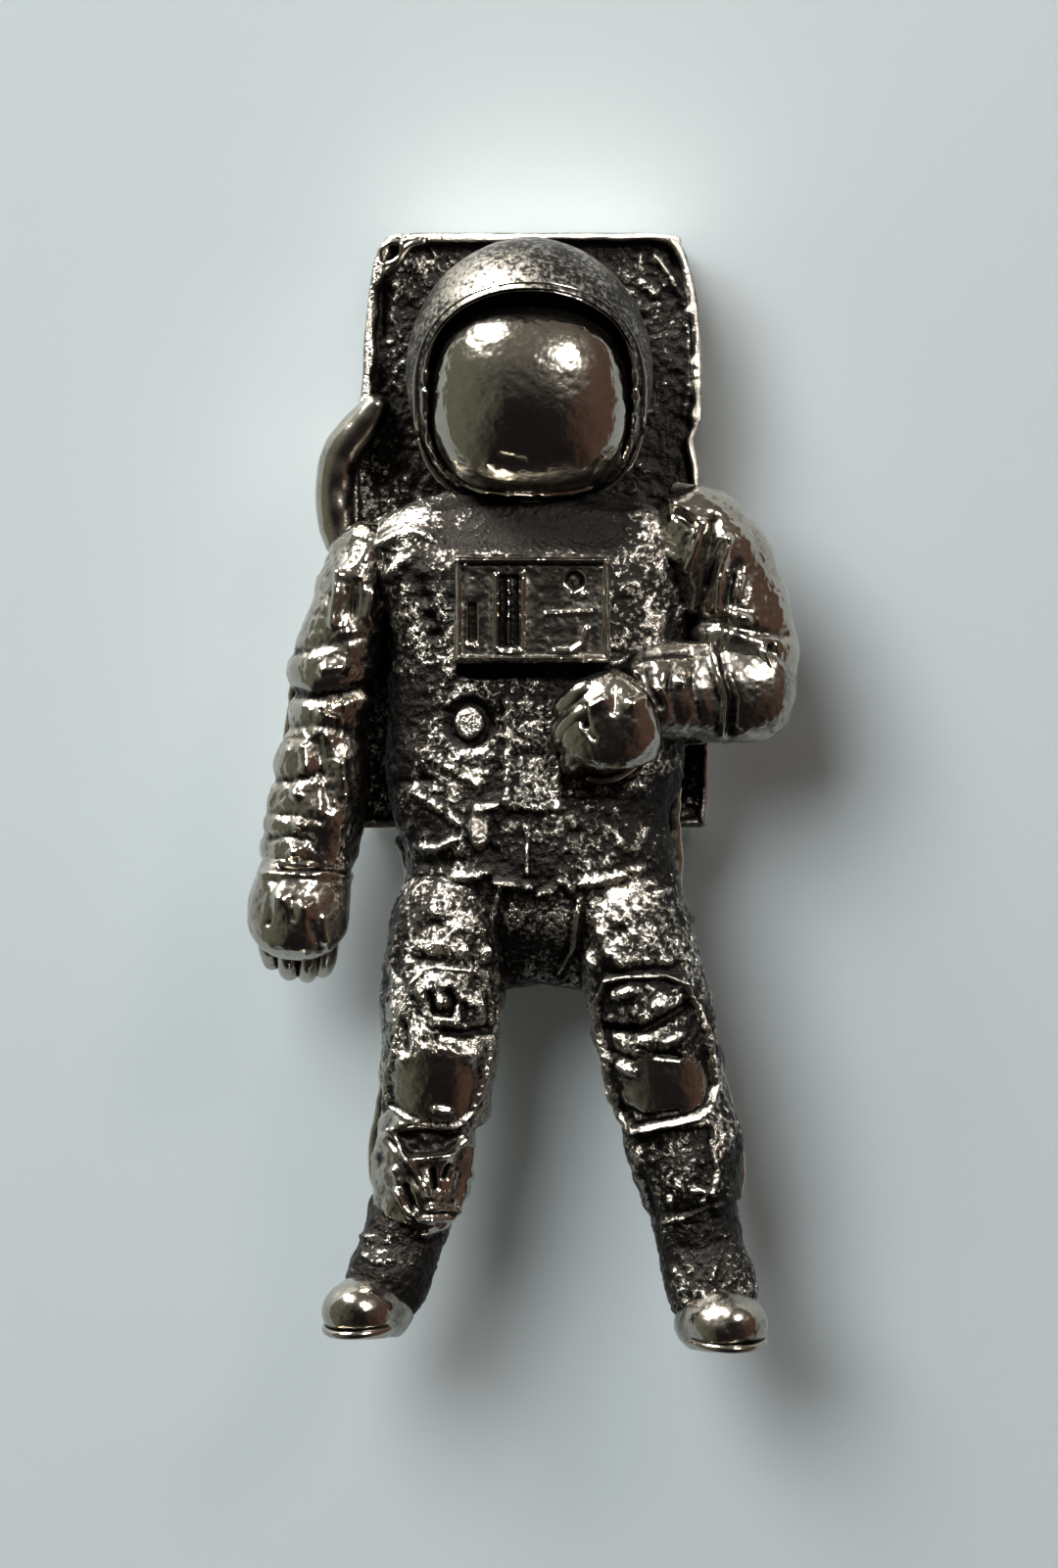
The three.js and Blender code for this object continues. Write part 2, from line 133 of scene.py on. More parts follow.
def put(name, data):
    """An object at the origin, linked to the scene."""
    thing = bpy.data.objects.new(name, data)
    bpy.context.scene.collection.objects.link(thing)
    return thing


def finish(name, mesh, material, marks, body="figure", node="figure_casting", slot="antique_pewter"):
    mesh.shade_smooth()
    mesh.materials.append(material)
    for mark, values in marks.items():
        mesh.attributes.new(mark, "FLOAT", "POINT").data.foreach_set("value", values.astype(np.float32))
    piece = put(name, mesh)
    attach(piece, body)
    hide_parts(node)
    return piece


def skin(name, rings, material, hollow=0.5, grain=1.0, **where):
    """A closed mesh from rings of points in millimetres: quads between them and a fan at each end."""
    count, around = rings.shape[:2]
    ends = np.stack([rings[0].mean(axis=0), rings[-1].mean(axis=0)])
    points = np.vstack([rings.reshape(-1, 3), ends]) * MM
    index = np.arange(count * around).reshape(count, around)
    turned = np.roll(index, -1, axis=1)
    quads = np.stack([index[:-1], turned[:-1], turned[1:], index[1:]], axis=-1).reshape(-1, 4)
    first = np.stack([turned[0], index[0], np.full(around, count * around)], axis=-1)
    last = np.stack([index[-1], turned[-1], np.full(around, count * around + 1)], axis=-1)
    cross = np.cross(points[quads[:, 1]] - points[quads[:, 0]], points[quads[:, 3]] - points[quads[:, 0]])
    if (cross * (points[quads[:, 0]] - points.mean(axis=0))).sum() < 0:
        quads, first, last = quads[:, ::-1], first[:, ::-1], last[:, ::-1]
    loops = np.concatenate([quads.ravel(), first.ravel(), last.ravel()]).astype(np.int32)
    sizes = np.concatenate([np.full(len(quads), 4), np.full(2 * around, 3)]).astype(np.int32)
    starts = np.concatenate([[0], np.cumsum(sizes)[:-1]]).astype(np.int32)
    mesh = bpy.data.meshes.new(name)
    mesh.vertices.add(len(points))
    mesh.vertices.foreach_set("co", points.astype(np.float32).ravel())
    mesh.loops.add(len(loops))
    mesh.loops.foreach_set("vertex_index", loops)
    mesh.polygons.add(len(sizes))
    mesh.polygons.foreach_set("loop_start", starts)
    mesh.update(calc_edges=True)
    marks = {}
    for mark, values in (("hollow", hollow), ("grain", grain)):
        values = np.broadcast_to(values, (count, around))
        marks[mark] = np.concatenate([values.ravel(), [values[0].mean(), values[-1].mean()]])
    finish(name, mesh, material, marks, **where)


def cast(name, rings, relief, material, depth=0.06, black=0.0, grain=1.0):
    """Moves the rings out by the relief in millimetres and says how hollow each point is: 0.5 is level
    with the average round it, 1 is depth below that. Black adds to it: acid black left on purpose, and
    in places painted shade under and between parts."""
    below = blurred(relief, 7) - relief
    hollow = np.clip(0.5 + 0.5 * below / depth, 0, 1) + black
    skin(name, rings + outward(rings) * relief[..., None], material, hollow, grain)


def crowded(count, ends):
    """Shares from 0 to 1 that crowd towards both ends: a blend of even steps and of half a cosine wave."""
    even = np.linspace(0, 1, count)
    return (1 - np.cos(even * np.pi)) / 2 * ends + even * (1 - ends)


def slab(low, high, left, right, front, back, edge, count, across):
    """Rings of an upright slab, one for each height. Left and right are curves of (z, x) knots. Each ring
    is a rectangle with rounded front edges and most of its points on the front; the ends are rounded as
    well."""
    z = low + (high - low) * crowded(count, 0.3)
    a, b = (spline(z, *zip(*side))[:, None] for side in (left, right))
    ends = np.minimum(z - low, high - z)[:, None]
    inset = edge - np.sqrt(edge**2 - np.clip(edge - ends, 0, edge) ** 2)
    turn, flat, side, rear = (np.linspace(0, 1, n) for n in (7, across, 18, 60))
    turn, flat, side = turn * np.pi / 2, flat[1:-1], side[1:-1]
    turned = turn[::-1]
    share_x = np.concatenate([0 * turn, flat, 0 * turn + 1, 0 * side + 1, 1 - rear, 0 * side])
    edge_x = np.concatenate(
        [1 - np.cos(turn), 1 - 2 * flat, np.cos(turned) - 1, 0 * side, 0 * rear, 0 * side])
    share_y = np.concatenate([0 * turn, 0 * flat, 0 * turn, side, 0 * rear + 1, side[::-1]])
    edge_y = np.concatenate(
        [1 - np.sin(turn), 0 * flat, 1 - np.sin(turned), 1 - side, 0 * rear, 1 - side[::-1]])
    x = a + inset + share_x * (b - a - 2 * inset) + edge_x * edge
    y = front + inset + share_y * (back - front - 2 * inset) + edge_y * edge
    return np.stack([x, y, np.broadcast_to(z[:, None], x.shape)], -1)


def maths(tree, kind, a, b):
    """One Math node in a tree, fed by sockets or numbers."""
    node = tree.nodes.new("ShaderNodeMath")
    node.operation = kind
    for value, place in ((a, node.inputs[0]), (b, node.inputs[1])):
        if isinstance(value, (int, float)):
            place.default_value = value
        else:
            tree.links.new(value, place)
    return node.outputs[0]


def noise(tree, scale, detail, rough):
    """Noise over the object's own coordinates, in cells per metre."""
    where = tree.nodes.new("ShaderNodeTexCoord")
    node = tree.nodes.new("ShaderNodeTexNoise")
    node.inputs["Scale"].default_value = scale
    node.inputs["Detail"].default_value = detail
    node.inputs["Roughness"].default_value = rough
    tree.links.new(where.outputs["Object"], node.inputs["Vector"])
    return node.outputs["Fac"]


def blend_colour(tree, share, first, second):
    """One colour Mix node: first where share is 0, second where it is 1."""
    node = tree.nodes.new("ShaderNodeMix")
    node.data_type = "RGBA"
    tree.links.new(share, node.inputs["Factor"])
    for value, place in ((first, node.inputs["A"]), (second, node.inputs["B"])):
        if isinstance(value, tuple):
            place.default_value = (*value, 1)
        else:
            tree.links.new(value, place)
    return node.outputs["Result"]


def soft_range(tree, value, low, high, top=1.0):
    """0 at low, top at high, and eased between."""
    node = tree.nodes.new("ShaderNodeMapRange")
    node.interpolation_type = "SMOOTHSTEP"
    node.inputs["From Min"].default_value = low
    node.inputs["From Max"].default_value = high
    node.inputs["To Max"].default_value = top
    tree.links.new(value, node.inputs["Value"])
    return node.outputs["Result"]


def node_group(name, **given):
    """A node group with the given inputs at their starting values: a tuple is a colour. It puts out a
    colour, a roughness and a height."""
    group = bpy.data.node_groups.new(name, "ShaderNodeTree")
    for label, value in given.items():
        kind = "NodeSocketColor" if isinstance(value, tuple) else "NodeSocketFloat"
        group.interface.new_socket(label, in_out="INPUT", socket_type=kind).default_value = value
    group.interface.new_socket("Color", in_out="OUTPUT", socket_type="NodeSocketColor")
    for label in ("Roughness", "Height"):
        group.interface.new_socket(label, in_out="OUTPUT", socket_type="NodeSocketFloat")
    return group, group.nodes.new("NodeGroupInput").outputs, group.nodes.new("NodeGroupOutput").inputs


def metal(name, group, bump):
    """A metal material whose colour, roughness and height come from one node group; bump is that
    height."""
    material = bpy.data.materials.new(name)
    material.use_nodes = True
    tree = material.node_tree
    shader = tree.nodes["Principled BSDF"]
    shader.inputs["Metallic"].default_value = 1.0
    surface = tree.nodes.new("ShaderNodeGroup")
    surface.node_tree = group
    tree.links.new(surface.outputs["Color"], shader.inputs["Base Color"])
    tree.links.new(surface.outputs["Roughness"], shader.inputs["Roughness"])
    relief = tree.nodes.new("ShaderNodeBump")
    relief.inputs["Distance"].default_value = bump * MM
    tree.links.new(surface.outputs["Height"], relief.inputs["Height"])
    tree.links.new(relief.outputs["Normal"], shader.inputs["Normal"])
    return material, tree, surface.inputs


def aged_metal():
    """Cast pewter: hollows, corners and pits are blackened, the rest is polished, and a slow drift of tone
    runs over it. The corner black, and in places the hollow black, are painted shade as well as acid black."""
    group, given, result = node_group("aged_pewter", Hollow=0.5, Corner=0.0, Grain=0.5, Soot=0.5,
        Satin=0.04)
    fine = noise(group, 7500.0, 4.0, 0.65)
    drift = noise(group, 600.0, 2.0, 0.5)
    soot = noise(group, 420.0, 3.0, 0.6)
    pits = maths(group, "MULTIPLY", maths(group, "SUBTRACT", 0.52, fine), given["Grain"])
    dark = maths(group, "ADD", given["Hollow"], maths(group, "MULTIPLY", pits, 2.2))
    patches = maths(group, "MULTIPLY", maths(group, "SUBTRACT", soot, 0.47), given["Soot"])
    dark = maths(group, "ADD", dark, patches)
    # The occlusion input adds painted shade to the blackening, along with corner black.
    black = soft_range(group, maths(group, "ADD", dark, given["Corner"]), 0.46, 0.90)
    tone = blend_colour(group, drift, (0.47, 0.445, 0.395), (0.33, 0.298, 0.25))
    group.links.new(blend_colour(group, black, tone, (0.010, 0.009, 0.008)), result["Color"])
    rough = maths(group, "ADD", maths(group, "MULTIPLY", black, 0.30), maths(group, "MULTIPLY", fine, 0.16))
    group.links.new(maths(group, "ADD", rough, given["Satin"]), result["Roughness"])
    group.links.new(maths(group, "MULTIPLY", fine, given["Grain"]), result["Height"])
    return group


aged_pewter = aged_metal()


def pewter(name, grain, bump, soot, satin=0.04, alone=False):
    """Pewter with its own grain: grain is how pitted, bump the grain's height and soot how patchy the
    black is. Any corner less than 1.7 mm across is black too, found by occlusion: acid black in tight
    recesses, and painted shade where parts crowd each other. Satin is the roughness of bare metal, and
    alone counts only a piece's own corners."""
    material, tree, given = metal(name, aged_pewter, bump)
    given["Satin"].default_value = satin
    grained, hollow = (tree.nodes.new("ShaderNodeAttribute") for _ in range(2))
    grained.attribute_name, hollow.attribute_name = "grain", "hollow"
    for label, amount in (("Grain", grain), ("Soot", soot)):
        tree.links.new(maths(tree, "MULTIPLY", grained.outputs["Fac"], amount), given[label])
    tree.links.new(hollow.outputs["Fac"], given["Hollow"])
    # Painted shade: ambient occlusion within 1.7 mm blackens the colour. It stands for acid black left in
    # tight recesses and for shade between crowded parts.
    open_sky = tree.nodes.new("ShaderNodeAmbientOcclusion")
    open_sky.samples = 6
    open_sky.only_local = alone
    open_sky.inputs["Distance"].default_value = 1.7 * MM
    shut = maths(tree, "SUBTRACT", 1.0, open_sky.outputs["AO"])
    tree.links.new(soft_range(tree, shut, 0.25, 0.85, 0.9), given["Corner"])
    return material


slab_metal = pewter("pewter_slab", grain=1.2, bump=0.05, soot=1.6, alone=True)

pack_left = [(-7.47, -4.7), (-6, -4.7), (-2.6, -4.7), (-1.0, -4.82), (0.8, -4.87), (2.4, -4.87),
    (3.3, -4.76), (4.0, -4.61), (5.6, -4.5), (7.0, -4.35), (7.8, -4.19), (8.2, -3.98), (8.36, -3.72),
    (8.43, -3.25)]
pack_right = [(-7.47, 4.66), (-6, 4.71), (1.0, 4.45), (2.3, 4.42), (2.9, 4.32), (3.2, 4.45), (4.2, 4.53),
    (5.2, 4.5), (6.6, 4.4), (7.5, 4.19), (8.1, 3.95), (8.36, 3.66), (8.43, 3.14)]
rings = slab(-7.47, 8.43, pack_left, pack_right, -3.2, 0.0, 0.12, 300, 160)
x, y, z = np.moveaxis(rings, -1, 0)
face = ease(-y, 3.05, 3.15)
rim_line = [(a, b) for b, a in pack_left[7:]] + [(a, b) for b, a in pack_right[:1:-1]]
off_rim = gap(x, z, rim_line) - 0.06 * ease(-x, 0, 1) + 0.05 * mottle(rings, 0.35, 15)
relief = -face * 0.30 * ease(off_rim, 0.17, 0.27)
relief += face * ease(off_rim, 0.2, 0.35) * (0.07 * grit(rings, 0.22, 11) + 0.05 * mottle(rings, 0.9, 13))
relief += 0.012 * grit(rings, 0.5, 14) * (1 - face)
rear = ease(y, -0.05, -0.01)
relief -= rear * 0.15 * ease(z, 5.92, 5.98) * (1 - ease(z, 6.17, 6.23))
relief += face * folds(
    x, z, (0.15, 0.1, 3.25, 7.8, 3.66, 7.33, 4.01, 6.68, 4.16, 5.76, 4.16, 4.19, 4.06, 3.56),
    (0.12, 0.1, 2.91, 7.07, 3.25, 6.81), (-0.2, 0.18, -4.08, 6.81, -4.08, 5.76))
# The rough panel's black: acid black over all of it, painted shade round the helmet, which stands out in
# front of the panel, and darker towards the right side.
helmet_shade = oval(x, z, -0.08, 4.4, 3.9, 4.3, 0.12)
extra_black = 0.30 + 0.25 * helmet_shade + 0.2 * ease(x, 2.51, 3.35)
cast("back_pack", rings, relief, slab_metal, depth=0.09, black=face * ease(off_rim, 0.25, 0.4) * extra_black,
    grain=0.35 + 0.65 * face)


# ---------------------------------------------------------------- corner loop and hose
# A small oval loop sits on the pack's upper corner. The hose leaves the pack lower down, bows out past its
# edge and runs in behind the shoulder; both are smooth and polished, cast in one with the pack.

def full_turn(count):
    """Angles once round from 0."""
    return np.arange(count) / count * 2 * np.pi


def rim_reach(angle, power, half_x=1.0, half_z=1.0):
    """How far a superellipse reaches at each angle: (|cos / half_x|^power + |sin / half_z|^power)^(-1 /
    power)."""
    across, up = np.abs(np.cos(angle) / half_x), np.abs(np.sin(angle) / half_z)
    return (across**power + up**power) ** (-1 / power)


def limb(route, widths, deeps, count, around, power=2.15, crowd=0.6):
    """Rings along a smooth line: each is an oval of the given half width and half depth, closing in a
    quarter circle at both ends. The points crowd towards the front."""
    route, widths, deeps = (np.asarray(v, float) for v in (route, widths, deeps))
    run = np.concatenate([[0], np.cumsum(np.linalg.norm(np.diff(route, axis=0), axis=1))])
    length = run[-1]
    at = length * crowded(count, 0.35)
    line = np.stack([spline(at, run, route[:, k]) for k in range(3)], 1)
    along = np.gradient(line, at, axis=0)
    along /= np.linalg.norm(along, axis=1, keepdims=True)
    side = np.cross(along, [0.0, 1.0, 0.0])
    side /= np.linalg.norm(side, axis=1, keepdims=True)
    front = np.cross(along, side)
    front *= -np.sign(front[:, 1:2])
    caps = np.ones(count)
    for reach, size in ((at, widths[0] * 0.9), (length - at, widths[-1] * 0.9)):
        caps *= np.sqrt(np.clip(1 - (1 - np.clip(reach / size, 0, 1)) ** 2, 1e-4, 1))
    w = (spline(at, run, widths) * caps)[:, None, None]
    d = (spline(at, run, deeps) * caps)[:, None, None]
    a = full_turn(around) - crowd * np.sin(full_turn(around))
    size = rim_reach(a, power)
    c, s = (size * np.cos(a))[None, :, None], (size * np.sin(a))[None, :, None]
    return line[:, None] + w * s * side[:, None] + d * c * front[:, None]


def tube(route, radius, count, around):
    """A round limb of one radius, its points evenly spaced."""
    return limb(route, [radius] * len(route), [radius] * len(route), count, around, 2.0, 0.0)


polished = pewter("pewter_polished", grain=0.30, bump=0.02, soot=0.5)
loop = [(-4.01, -3.15, 7.64), (-4.03, -3.2, 7.96), (-3.8, -3.2, 8.14), (-3.53, -3.2, 8.12),
    (-3.51, -3.2, 7.85), (-3.74, -3.2, 7.62), (-3.95, -3.15, 7.57)]
skin("corner_loop", tube(loop, 0.085, 80, 16), polished, 0.45)
corner_bar = [(-3.98, -3.1, 7.33), (-3.66, -3.15, 7.59), (-3.32, -3.15, 8.06), (-2.83, -3.1, 8.22)]
skin("corner_bar", tube(corner_bar, 0.11, 60, 16), polished, 0.45)

hose = [(-3.98, -3.0, 4.08), (-4.35, -2.95, 3.53), (-4.79, -2.9, 2.96), (-5.16, -2.85, 2.38),
    (-5.26, -2.85, 1.68), (-5.24, -2.9, 0.84), (-5.03, -3.0, -0.26)]
hose_widths, hose_deeps = [0.36, 0.48, 0.54, 0.55, 0.55, 0.52, 0.45], [0.5, 0.6, 0.65, 0.65, 0.65, 0.6, 0.5]
rings = limb(hose, hose_widths, hose_deeps, 160, 90)
cast("hose", rings, 0.03 * mottle(rings, 0.5, 16), polished)


# ---------------------------------------------------------------- helmet
# The helmet is an egg with a polished cowl. The window in its front has a deep groove, which the acid
# leaves black; one plain rim runs round it and one beaded rim stands inside.

helmet_middle = np.array([-0.09, -4.2, 4.59])
helmet_half = np.array([3.28, 3.15, 3.6])
window_half = (2.83, 2.68)
window_middle = (-0.08, 3.98)
angle = full_turn(360)


def window_outline(grow):
    """The window's edge as distances from its middle: a superellipse, squarer below than above."""
    return rim_reach(angle, 2.6 - 0.35 * np.sin(angle), window_half[0] + grow, window_half[1] + grow)


def egg_depth(x, z):
    """How far the helmet's front stands before its middle plane at x and z."""
    across, up = (x - helmet_middle[0]) / helmet_half[0], (z - helmet_middle[2]) / helmet_half[2]
    return helmet_half[1] * np.sqrt(np.clip(1 - across**2 - up**2, 0, 1))


def helmet_rings():
    """From the groove's floor out through its wall, over the egg to its widest outline, and in behind."""
    cx, cz = window_middle
    c, s = np.cos(angle), np.sin(angle)
    rim = window_outline(0.0)
    ox, oz = cx - helmet_middle[0], cz - helmet_middle[2]
    qa = (c / helmet_half[0]) ** 2 + (s / helmet_half[2]) ** 2
    qb = 2 * (ox * c / helmet_half[0] ** 2 + oz * s / helmet_half[2] ** 2)
    qc = (ox / helmet_half[0]) ** 2 + (oz / helmet_half[2]) ** 2 - 1
    edge = (-qb + np.sqrt(qb * qb - 4 * qa * qc)) / (2 * qa)
    floor = np.full(360, helmet_middle[1] - 0.6)
    front = helmet_middle[1] - egg_depth(cx + rim * c, cz + rim * s)
    rings = [np.stack([cx + k * rim * c, floor, cz + k * rim * s], 1) for k in np.linspace(0.02, 0.94, 12)]
    for k in np.linspace(0, 1, 12):
        rings.append(np.stack([cx + rim * c, floor + (front - floor) * k, cz + rim * s], 1))
    for k in np.linspace(0, 1, 90)[1:]:
        out = rim + (edge - rim) * np.sin(k * np.pi / 2)
        x, z = cx + out * c, cz + out * s
        rings.append(np.stack([x, helmet_middle[1] - egg_depth(x, z), z], 1))
    for a in np.linspace(0, np.pi / 2 * 0.98, 30)[1:]:
        x = helmet_middle[0] + (ox + edge * c) * np.cos(a)
        z = helmet_middle[2] + (oz + edge * s) * np.cos(a)
        rings.append(np.stack([x, np.full(360, helmet_middle[1] + 2.5 * np.sin(a)), z], 1))
    return np.array(rings)


satin = pewter("pewter_satin", grain=0.5, bump=0.01, soot=0.6, satin=0.13)
rings = helmet_rings()
relief = 0.012 * grit(rings, 0.9, 21) + 0.005 * grit(rings, 0.2, 24)
cast("helmet_shell", rings, relief, satin, black=0.25)


def looped(name, rings, material, hollow=0.5, **where):
    """A mesh from rings that follow each other round a closed line: quads all round, both ways."""
    points = rings.reshape(-1, 3) * MM
    index = np.arange(len(points)).reshape(rings.shape[:2])
    ahead = np.roll(index, -1, axis=0)
    quads = np.stack([index, np.roll(index, -1, 1), np.roll(ahead, -1, 1), ahead], -1).reshape(-1, 4)
    cross = np.cross(points[quads[:, 1]] - points[quads[:, 0]], points[quads[:, 3]] - points[quads[:, 0]])
    middle = np.repeat(rings.mean(axis=1) * MM, rings.shape[1], axis=0)
    if (cross * (points - middle)[quads[:, 0]]).sum() < 0:
        quads = quads[:, ::-1]
    mesh = bpy.data.meshes.new(name)
    mesh.from_pydata(points.tolist(), [], quads.tolist())
    finish(name, mesh, material, {"hollow": np.full(len(points), hollow), "grain": np.ones(len(points))},
        **where)


def hoop(name, grow, radius, drop, beads):
    """A bead that runs round the window: circles along its outline, thick and thin by beads, and thinner
    at the top."""
    out = window_outline(grow)
    x, z = window_middle[0] + out * np.cos(angle), window_middle[1] + out * np.sin(angle)
    line = np.stack([x, helmet_middle[1] - egg_depth(x, z) + drop, z], 1)
    away = np.stack([np.cos(angle), np.zeros(360), np.sin(angle)], 1)
    size = radius * (1 + beads * mottle(line * [1, 0, 1], 0.16, 26))
    size = (size * (1 - 0.8 * ease(np.sin(angle), 0.0, 0.6)))[:, None, None]
    a = full_turn(16)
    circle = np.cos(a)[None, :, None] * away[:, None] + np.sin(a)[None, :, None] * np.array([0, 1.0, 0])
    looped(name, line[:, None] + size * circle, polished, 0.42)


hoop("window_rim", 0.16, 0.10, -0.02, 0.1)
hoop("beaded_rim", -0.06, 0.085, 0.10, 0.7)


# ---------------------------------------------------------------- visor
# A smooth dome stands in the window, the most polished face of the casting. Small dents break its shine.

visor_middle = (-0.08, 3.93)
visor_half = (2.62, 2.60)
visor_front, visor_back = -7.1, -5.2


def dome():
    """Rings from the dome's front pole out to its edge and in behind: superellipse outlines scaled by the
    sine of an angle, while the front falls away as the cosine to the power 0.9."""
    c, s = np.cos(angle), np.sin(angle)
    reach = rim_reach(angle, 2.5 - 0.2 * s, *visor_half)
    cx, cz = visor_middle
    rings = []
    for a in np.linspace(0.01, np.pi / 2, 130):
        y = visor_back + (visor_front - visor_back) * np.cos(a) ** 0.9
        rings.append(np.stack([cx + np.sin(a) * reach * c, np.full(360, y), cz + np.sin(a) * reach * s], 1))
    for k in np.linspace(0.9, 0.02, 8):
        rings.append(np.stack([cx + k * reach * c, np.full(360, visor_back + 0.1), cz + k * reach * s], 1))
    return np.array(rings)


bright = pewter("pewter_bright", grain=0.15, bump=0.01, soot=0.2)
rings = dome()
x, y, z = np.moveaxis(rings, -1, 0)
relief = 0.020 * mottle(rings, 0.75, 41) + 0.010 * grit(rings, 0.25, 43)
relief += folds(
    x, z, (-0.05, 0.12, -0.84, 2.3, -0.24, 2.15), (0.02, 0.1, -1.2, 2.09),
    (-0.05, 0.12, 2.2, 5.63, 2.36, 4.92))
cast("visor", rings, relief, bright)


# ---------------------------------------------------------------- trunk
# The suit's trunk from the neck to the crotch: rough cloth with folds, a round boss, a flap, a buckle and
# a belt cast into its front. The chest is left grainy and black round the bright grains.

def seams(x, z, height, width, *routes):
    """Raised lines with a groove on each side: a narrow ridge less a wider and lower one."""
    total = np.zeros(np.shape(x))
    for route in routes:
        d = gap(x, z, route) / width
        total += height * (1.7 * np.exp(-d * d) - 0.7 * np.exp(-(d / 2.3) ** 2))
    return total


def pane(x, z, left, right, low, high, edge):
    """1 inside a rectangle, 0 outside, with an edge of the given width."""
    across = ease(x, left - edge, left + edge) * (1 - ease(x, right - edge, right + edge))
    return across * ease(z, low - edge, low + edge) * (1 - ease(z, high - edge, high + edge))


def crumple(rings, fine, fine_size, slow, slow_size, seed):
    """Rough cloth as cast: grit of the height fine, and slow waves of the height slow."""
    return fine * grit(rings, fine_size, seed) + slow * mottle(rings, slow_size, seed + 1)


def trunk(count, around):
    """Rings from the crotch to the neck, each a superellipse between the left and right edge curves."""
    share = np.linspace(0, 1, count)
    z = -11.85 + (2.3 + 11.85) * share
    knots = [-11.85, -11.5, -10.9, -10.3, -9.2, -8.2, -7.2, -6.2, -4.0, -2.0, -0.6, 0.4, 1.1, 1.55, 2.3]
    left = [-1.02, -1.41, -2.2, -3.51, -3.4, -3.4, -3.72, -3.87, -3.82, -3.98, -4.4, -4.35, -3.38, -1.94,
        -1.52]
    right = [1.52, 1.83, 2.77, 4.08, 3.98, 3.82, 3.61, 3.93, 4.08, 4.24, 4.24, 4.08, 3.3, 1.73, 1.41]
    deep = [0.7, 0.95, 1.2, 1.65, 1.95, 2.1, 2.15, 2.2, 2.35, 2.4, 2.3, 2.05, 1.8, 1.5, 1.4]
    lo, hi, d = (spline(z, knots, v)[:, None] for v in (left, right, deep))
    a = full_turn(around) - 0.6 * np.sin(full_turn(around))
    size = rim_reach(a, 2.6)
    x = (lo + hi) / 2 + (hi - lo) / 2 * size * np.sin(a)
    y = -3.8 - d * size * np.cos(a)
    z = z[:, None] + 0.4 * (1 - ease(z, -11.85, -10.7))[:, None] * (1 - ((x - 0.26) / 1.3) ** 2)
    return np.stack([x, y, z], -1)


grainy = pewter("pewter_grainy", grain=1.2, bump=0.06, soot=2.0)
rings = trunk(310, 250)
x, y, z = np.moveaxis(rings, -1, 0)
face = ease(-y, 4.2, 5.0)
boss_z = -4.71
relief = crumple(rings, 0.06, 0.24, 0.05, 0.8, 51)
relief -= face * 0.6 * ease(z, -0.39, 0.31) * (1 - ease(np.abs(x - 0.03), 2.2, 3.4))
relief *= 1 - 0.5 * ease(z, -0.73, -0.05)
relief *= 1 - 0.8 * face * oval(x, z, -1.68, boss_z, 0.5, 0.5)
relief *= 1 - 0.75 * face * pane(x, z, -0.55, 0.58, -6.96, -5.65, 0.1)
relief *= 1 - 0.6 * face * pane(x, z, -0.99, 1.1, -11.13, -9.29, 0.1)
relief += face * 0.26 * oval(x, z, -1.68, boss_z, 0.40, 0.44, 0.2)
relief -= face * 0.22 * oval(x, z, -1.68, boss_z, 0.62, 0.66)
relief += face * 0.12 * pane(x, z, -0.68, 0.73, -7.02, -4.08, 0.06)
relief *= 1 - 0.8 * face * oval(x, z, -1.39, -7.46, 0.3, 0.6, 0.25)
relief += face * 0.15 * oval(x, z, -1.39, -7.46, 0.26, 0.56, 0.25)
relief -= face * 0.30 * pane(x, z, -1.94, 0.31, -3.46, -3.09, 0.1)
relief += face * (0.7 + 0.7 * mottle(rings, 0.28, 53)) * folds(
    x, z, (0.2, 0.09, -0.68, -4.08, -0.71, -5.5, -0.73, -6.96),
    (0.14, 0.12, -2.72, -5.63, -2.15, -5.92, -1.49, -6.28),
    (0.15, 0.13, -3.14, -6.49, -2.57, -6.86, -1.94, -7.33),
    (0.14, 0.1, -3.04, -7.91, -2.51, -8.01, -2.04, -7.75), (0.2, 0.1, -1.44, -6.96, -0.99, -6.88),
    (0.16, 0.07, -0.16, -7.43, -0.13, -8.64), (0.28, 0.1, -0.94, -8.9, -0.05, -9.01),
    (0.28, 0.1, 0.16, -9.21, 0.47, -9.11, 0.73, -8.85), (0.2, 0.1, 0.89, -8.9, 1.15, -9.27),
    (0.17, 0.13, 1.31, -8.9, 2.09, -8.8, 2.83, -8.53),
    (0.17, 0.13, 2.15, -7.54, 2.36, -7.96, 2.72, -8.01, 2.93, -7.49),
    (0.16, 0.12, -2.72, -9.03, -1.94, -8.77, -1.15, -8.64), (-0.12, 0.14, -3.66, -6.28, -2.72, -6.18),
    (-0.12, 0.14, 1.2, -7.59, 1.47, -8.32), (-0.12, 0.14, -2.98, -8.38, -1.94, -8.32, -1.15, -8.01),
    (0.16, 0.12, -4.03, 0.0, -3.25, 0.39, -2.46, 0.1), (0.2, 0.14, -3.77, -0.79, -3.38, -0.39),
    (-0.2, 0.16, -2.98, -1.05, -2.59, -2.36))
relief += face * seams(x, z, 0.14, 0.08, [-0.86, -9.03, -1.1, -10.05, -1.05, -11.13],
    [1.2, -9.35, 1.1, -10.52, 0.68, -11.31])
# Extra black on the front: painted shade between the right arm and the trunk, on the belly's right side
# below the left glove, under the chest unit and on the neck under the helmet. The crotch is kept lighter.
extra_black = 0.26 * pane(x, z, -4.29, -2.04, -7.85, -3.4, 0.4)
extra_black += 0.16 * pane(x, z, 0.73, 4.08, -8.64, -6.28, 0.4)
extra_black -= 0.14 * pane(x, z, -0.99, 1.15, -11.83, -9.21, 0.1)
extra_black += 0.3 * pane(x, z, -2.2, 0.68, -3.66, -3.04, 0.15)
extra_black += 0.6 * ease(z, -0.65, 0.0) * (1 - ease(np.abs(x - 0.03), 1.6, 2.8))
cast("suit_trunk", rings, relief, grainy, depth=0.085,
    black=0.31 - 0.10 * ease(z, -3.4, -2.62) + face * extra_black)


# ---------------------------------------------------------------- chest unit
# The control box on the chest is cast in one with the trunk: a plate with a thin raised frame, an upright
# slot with a bar in it, a small slot, a dial and a knob.

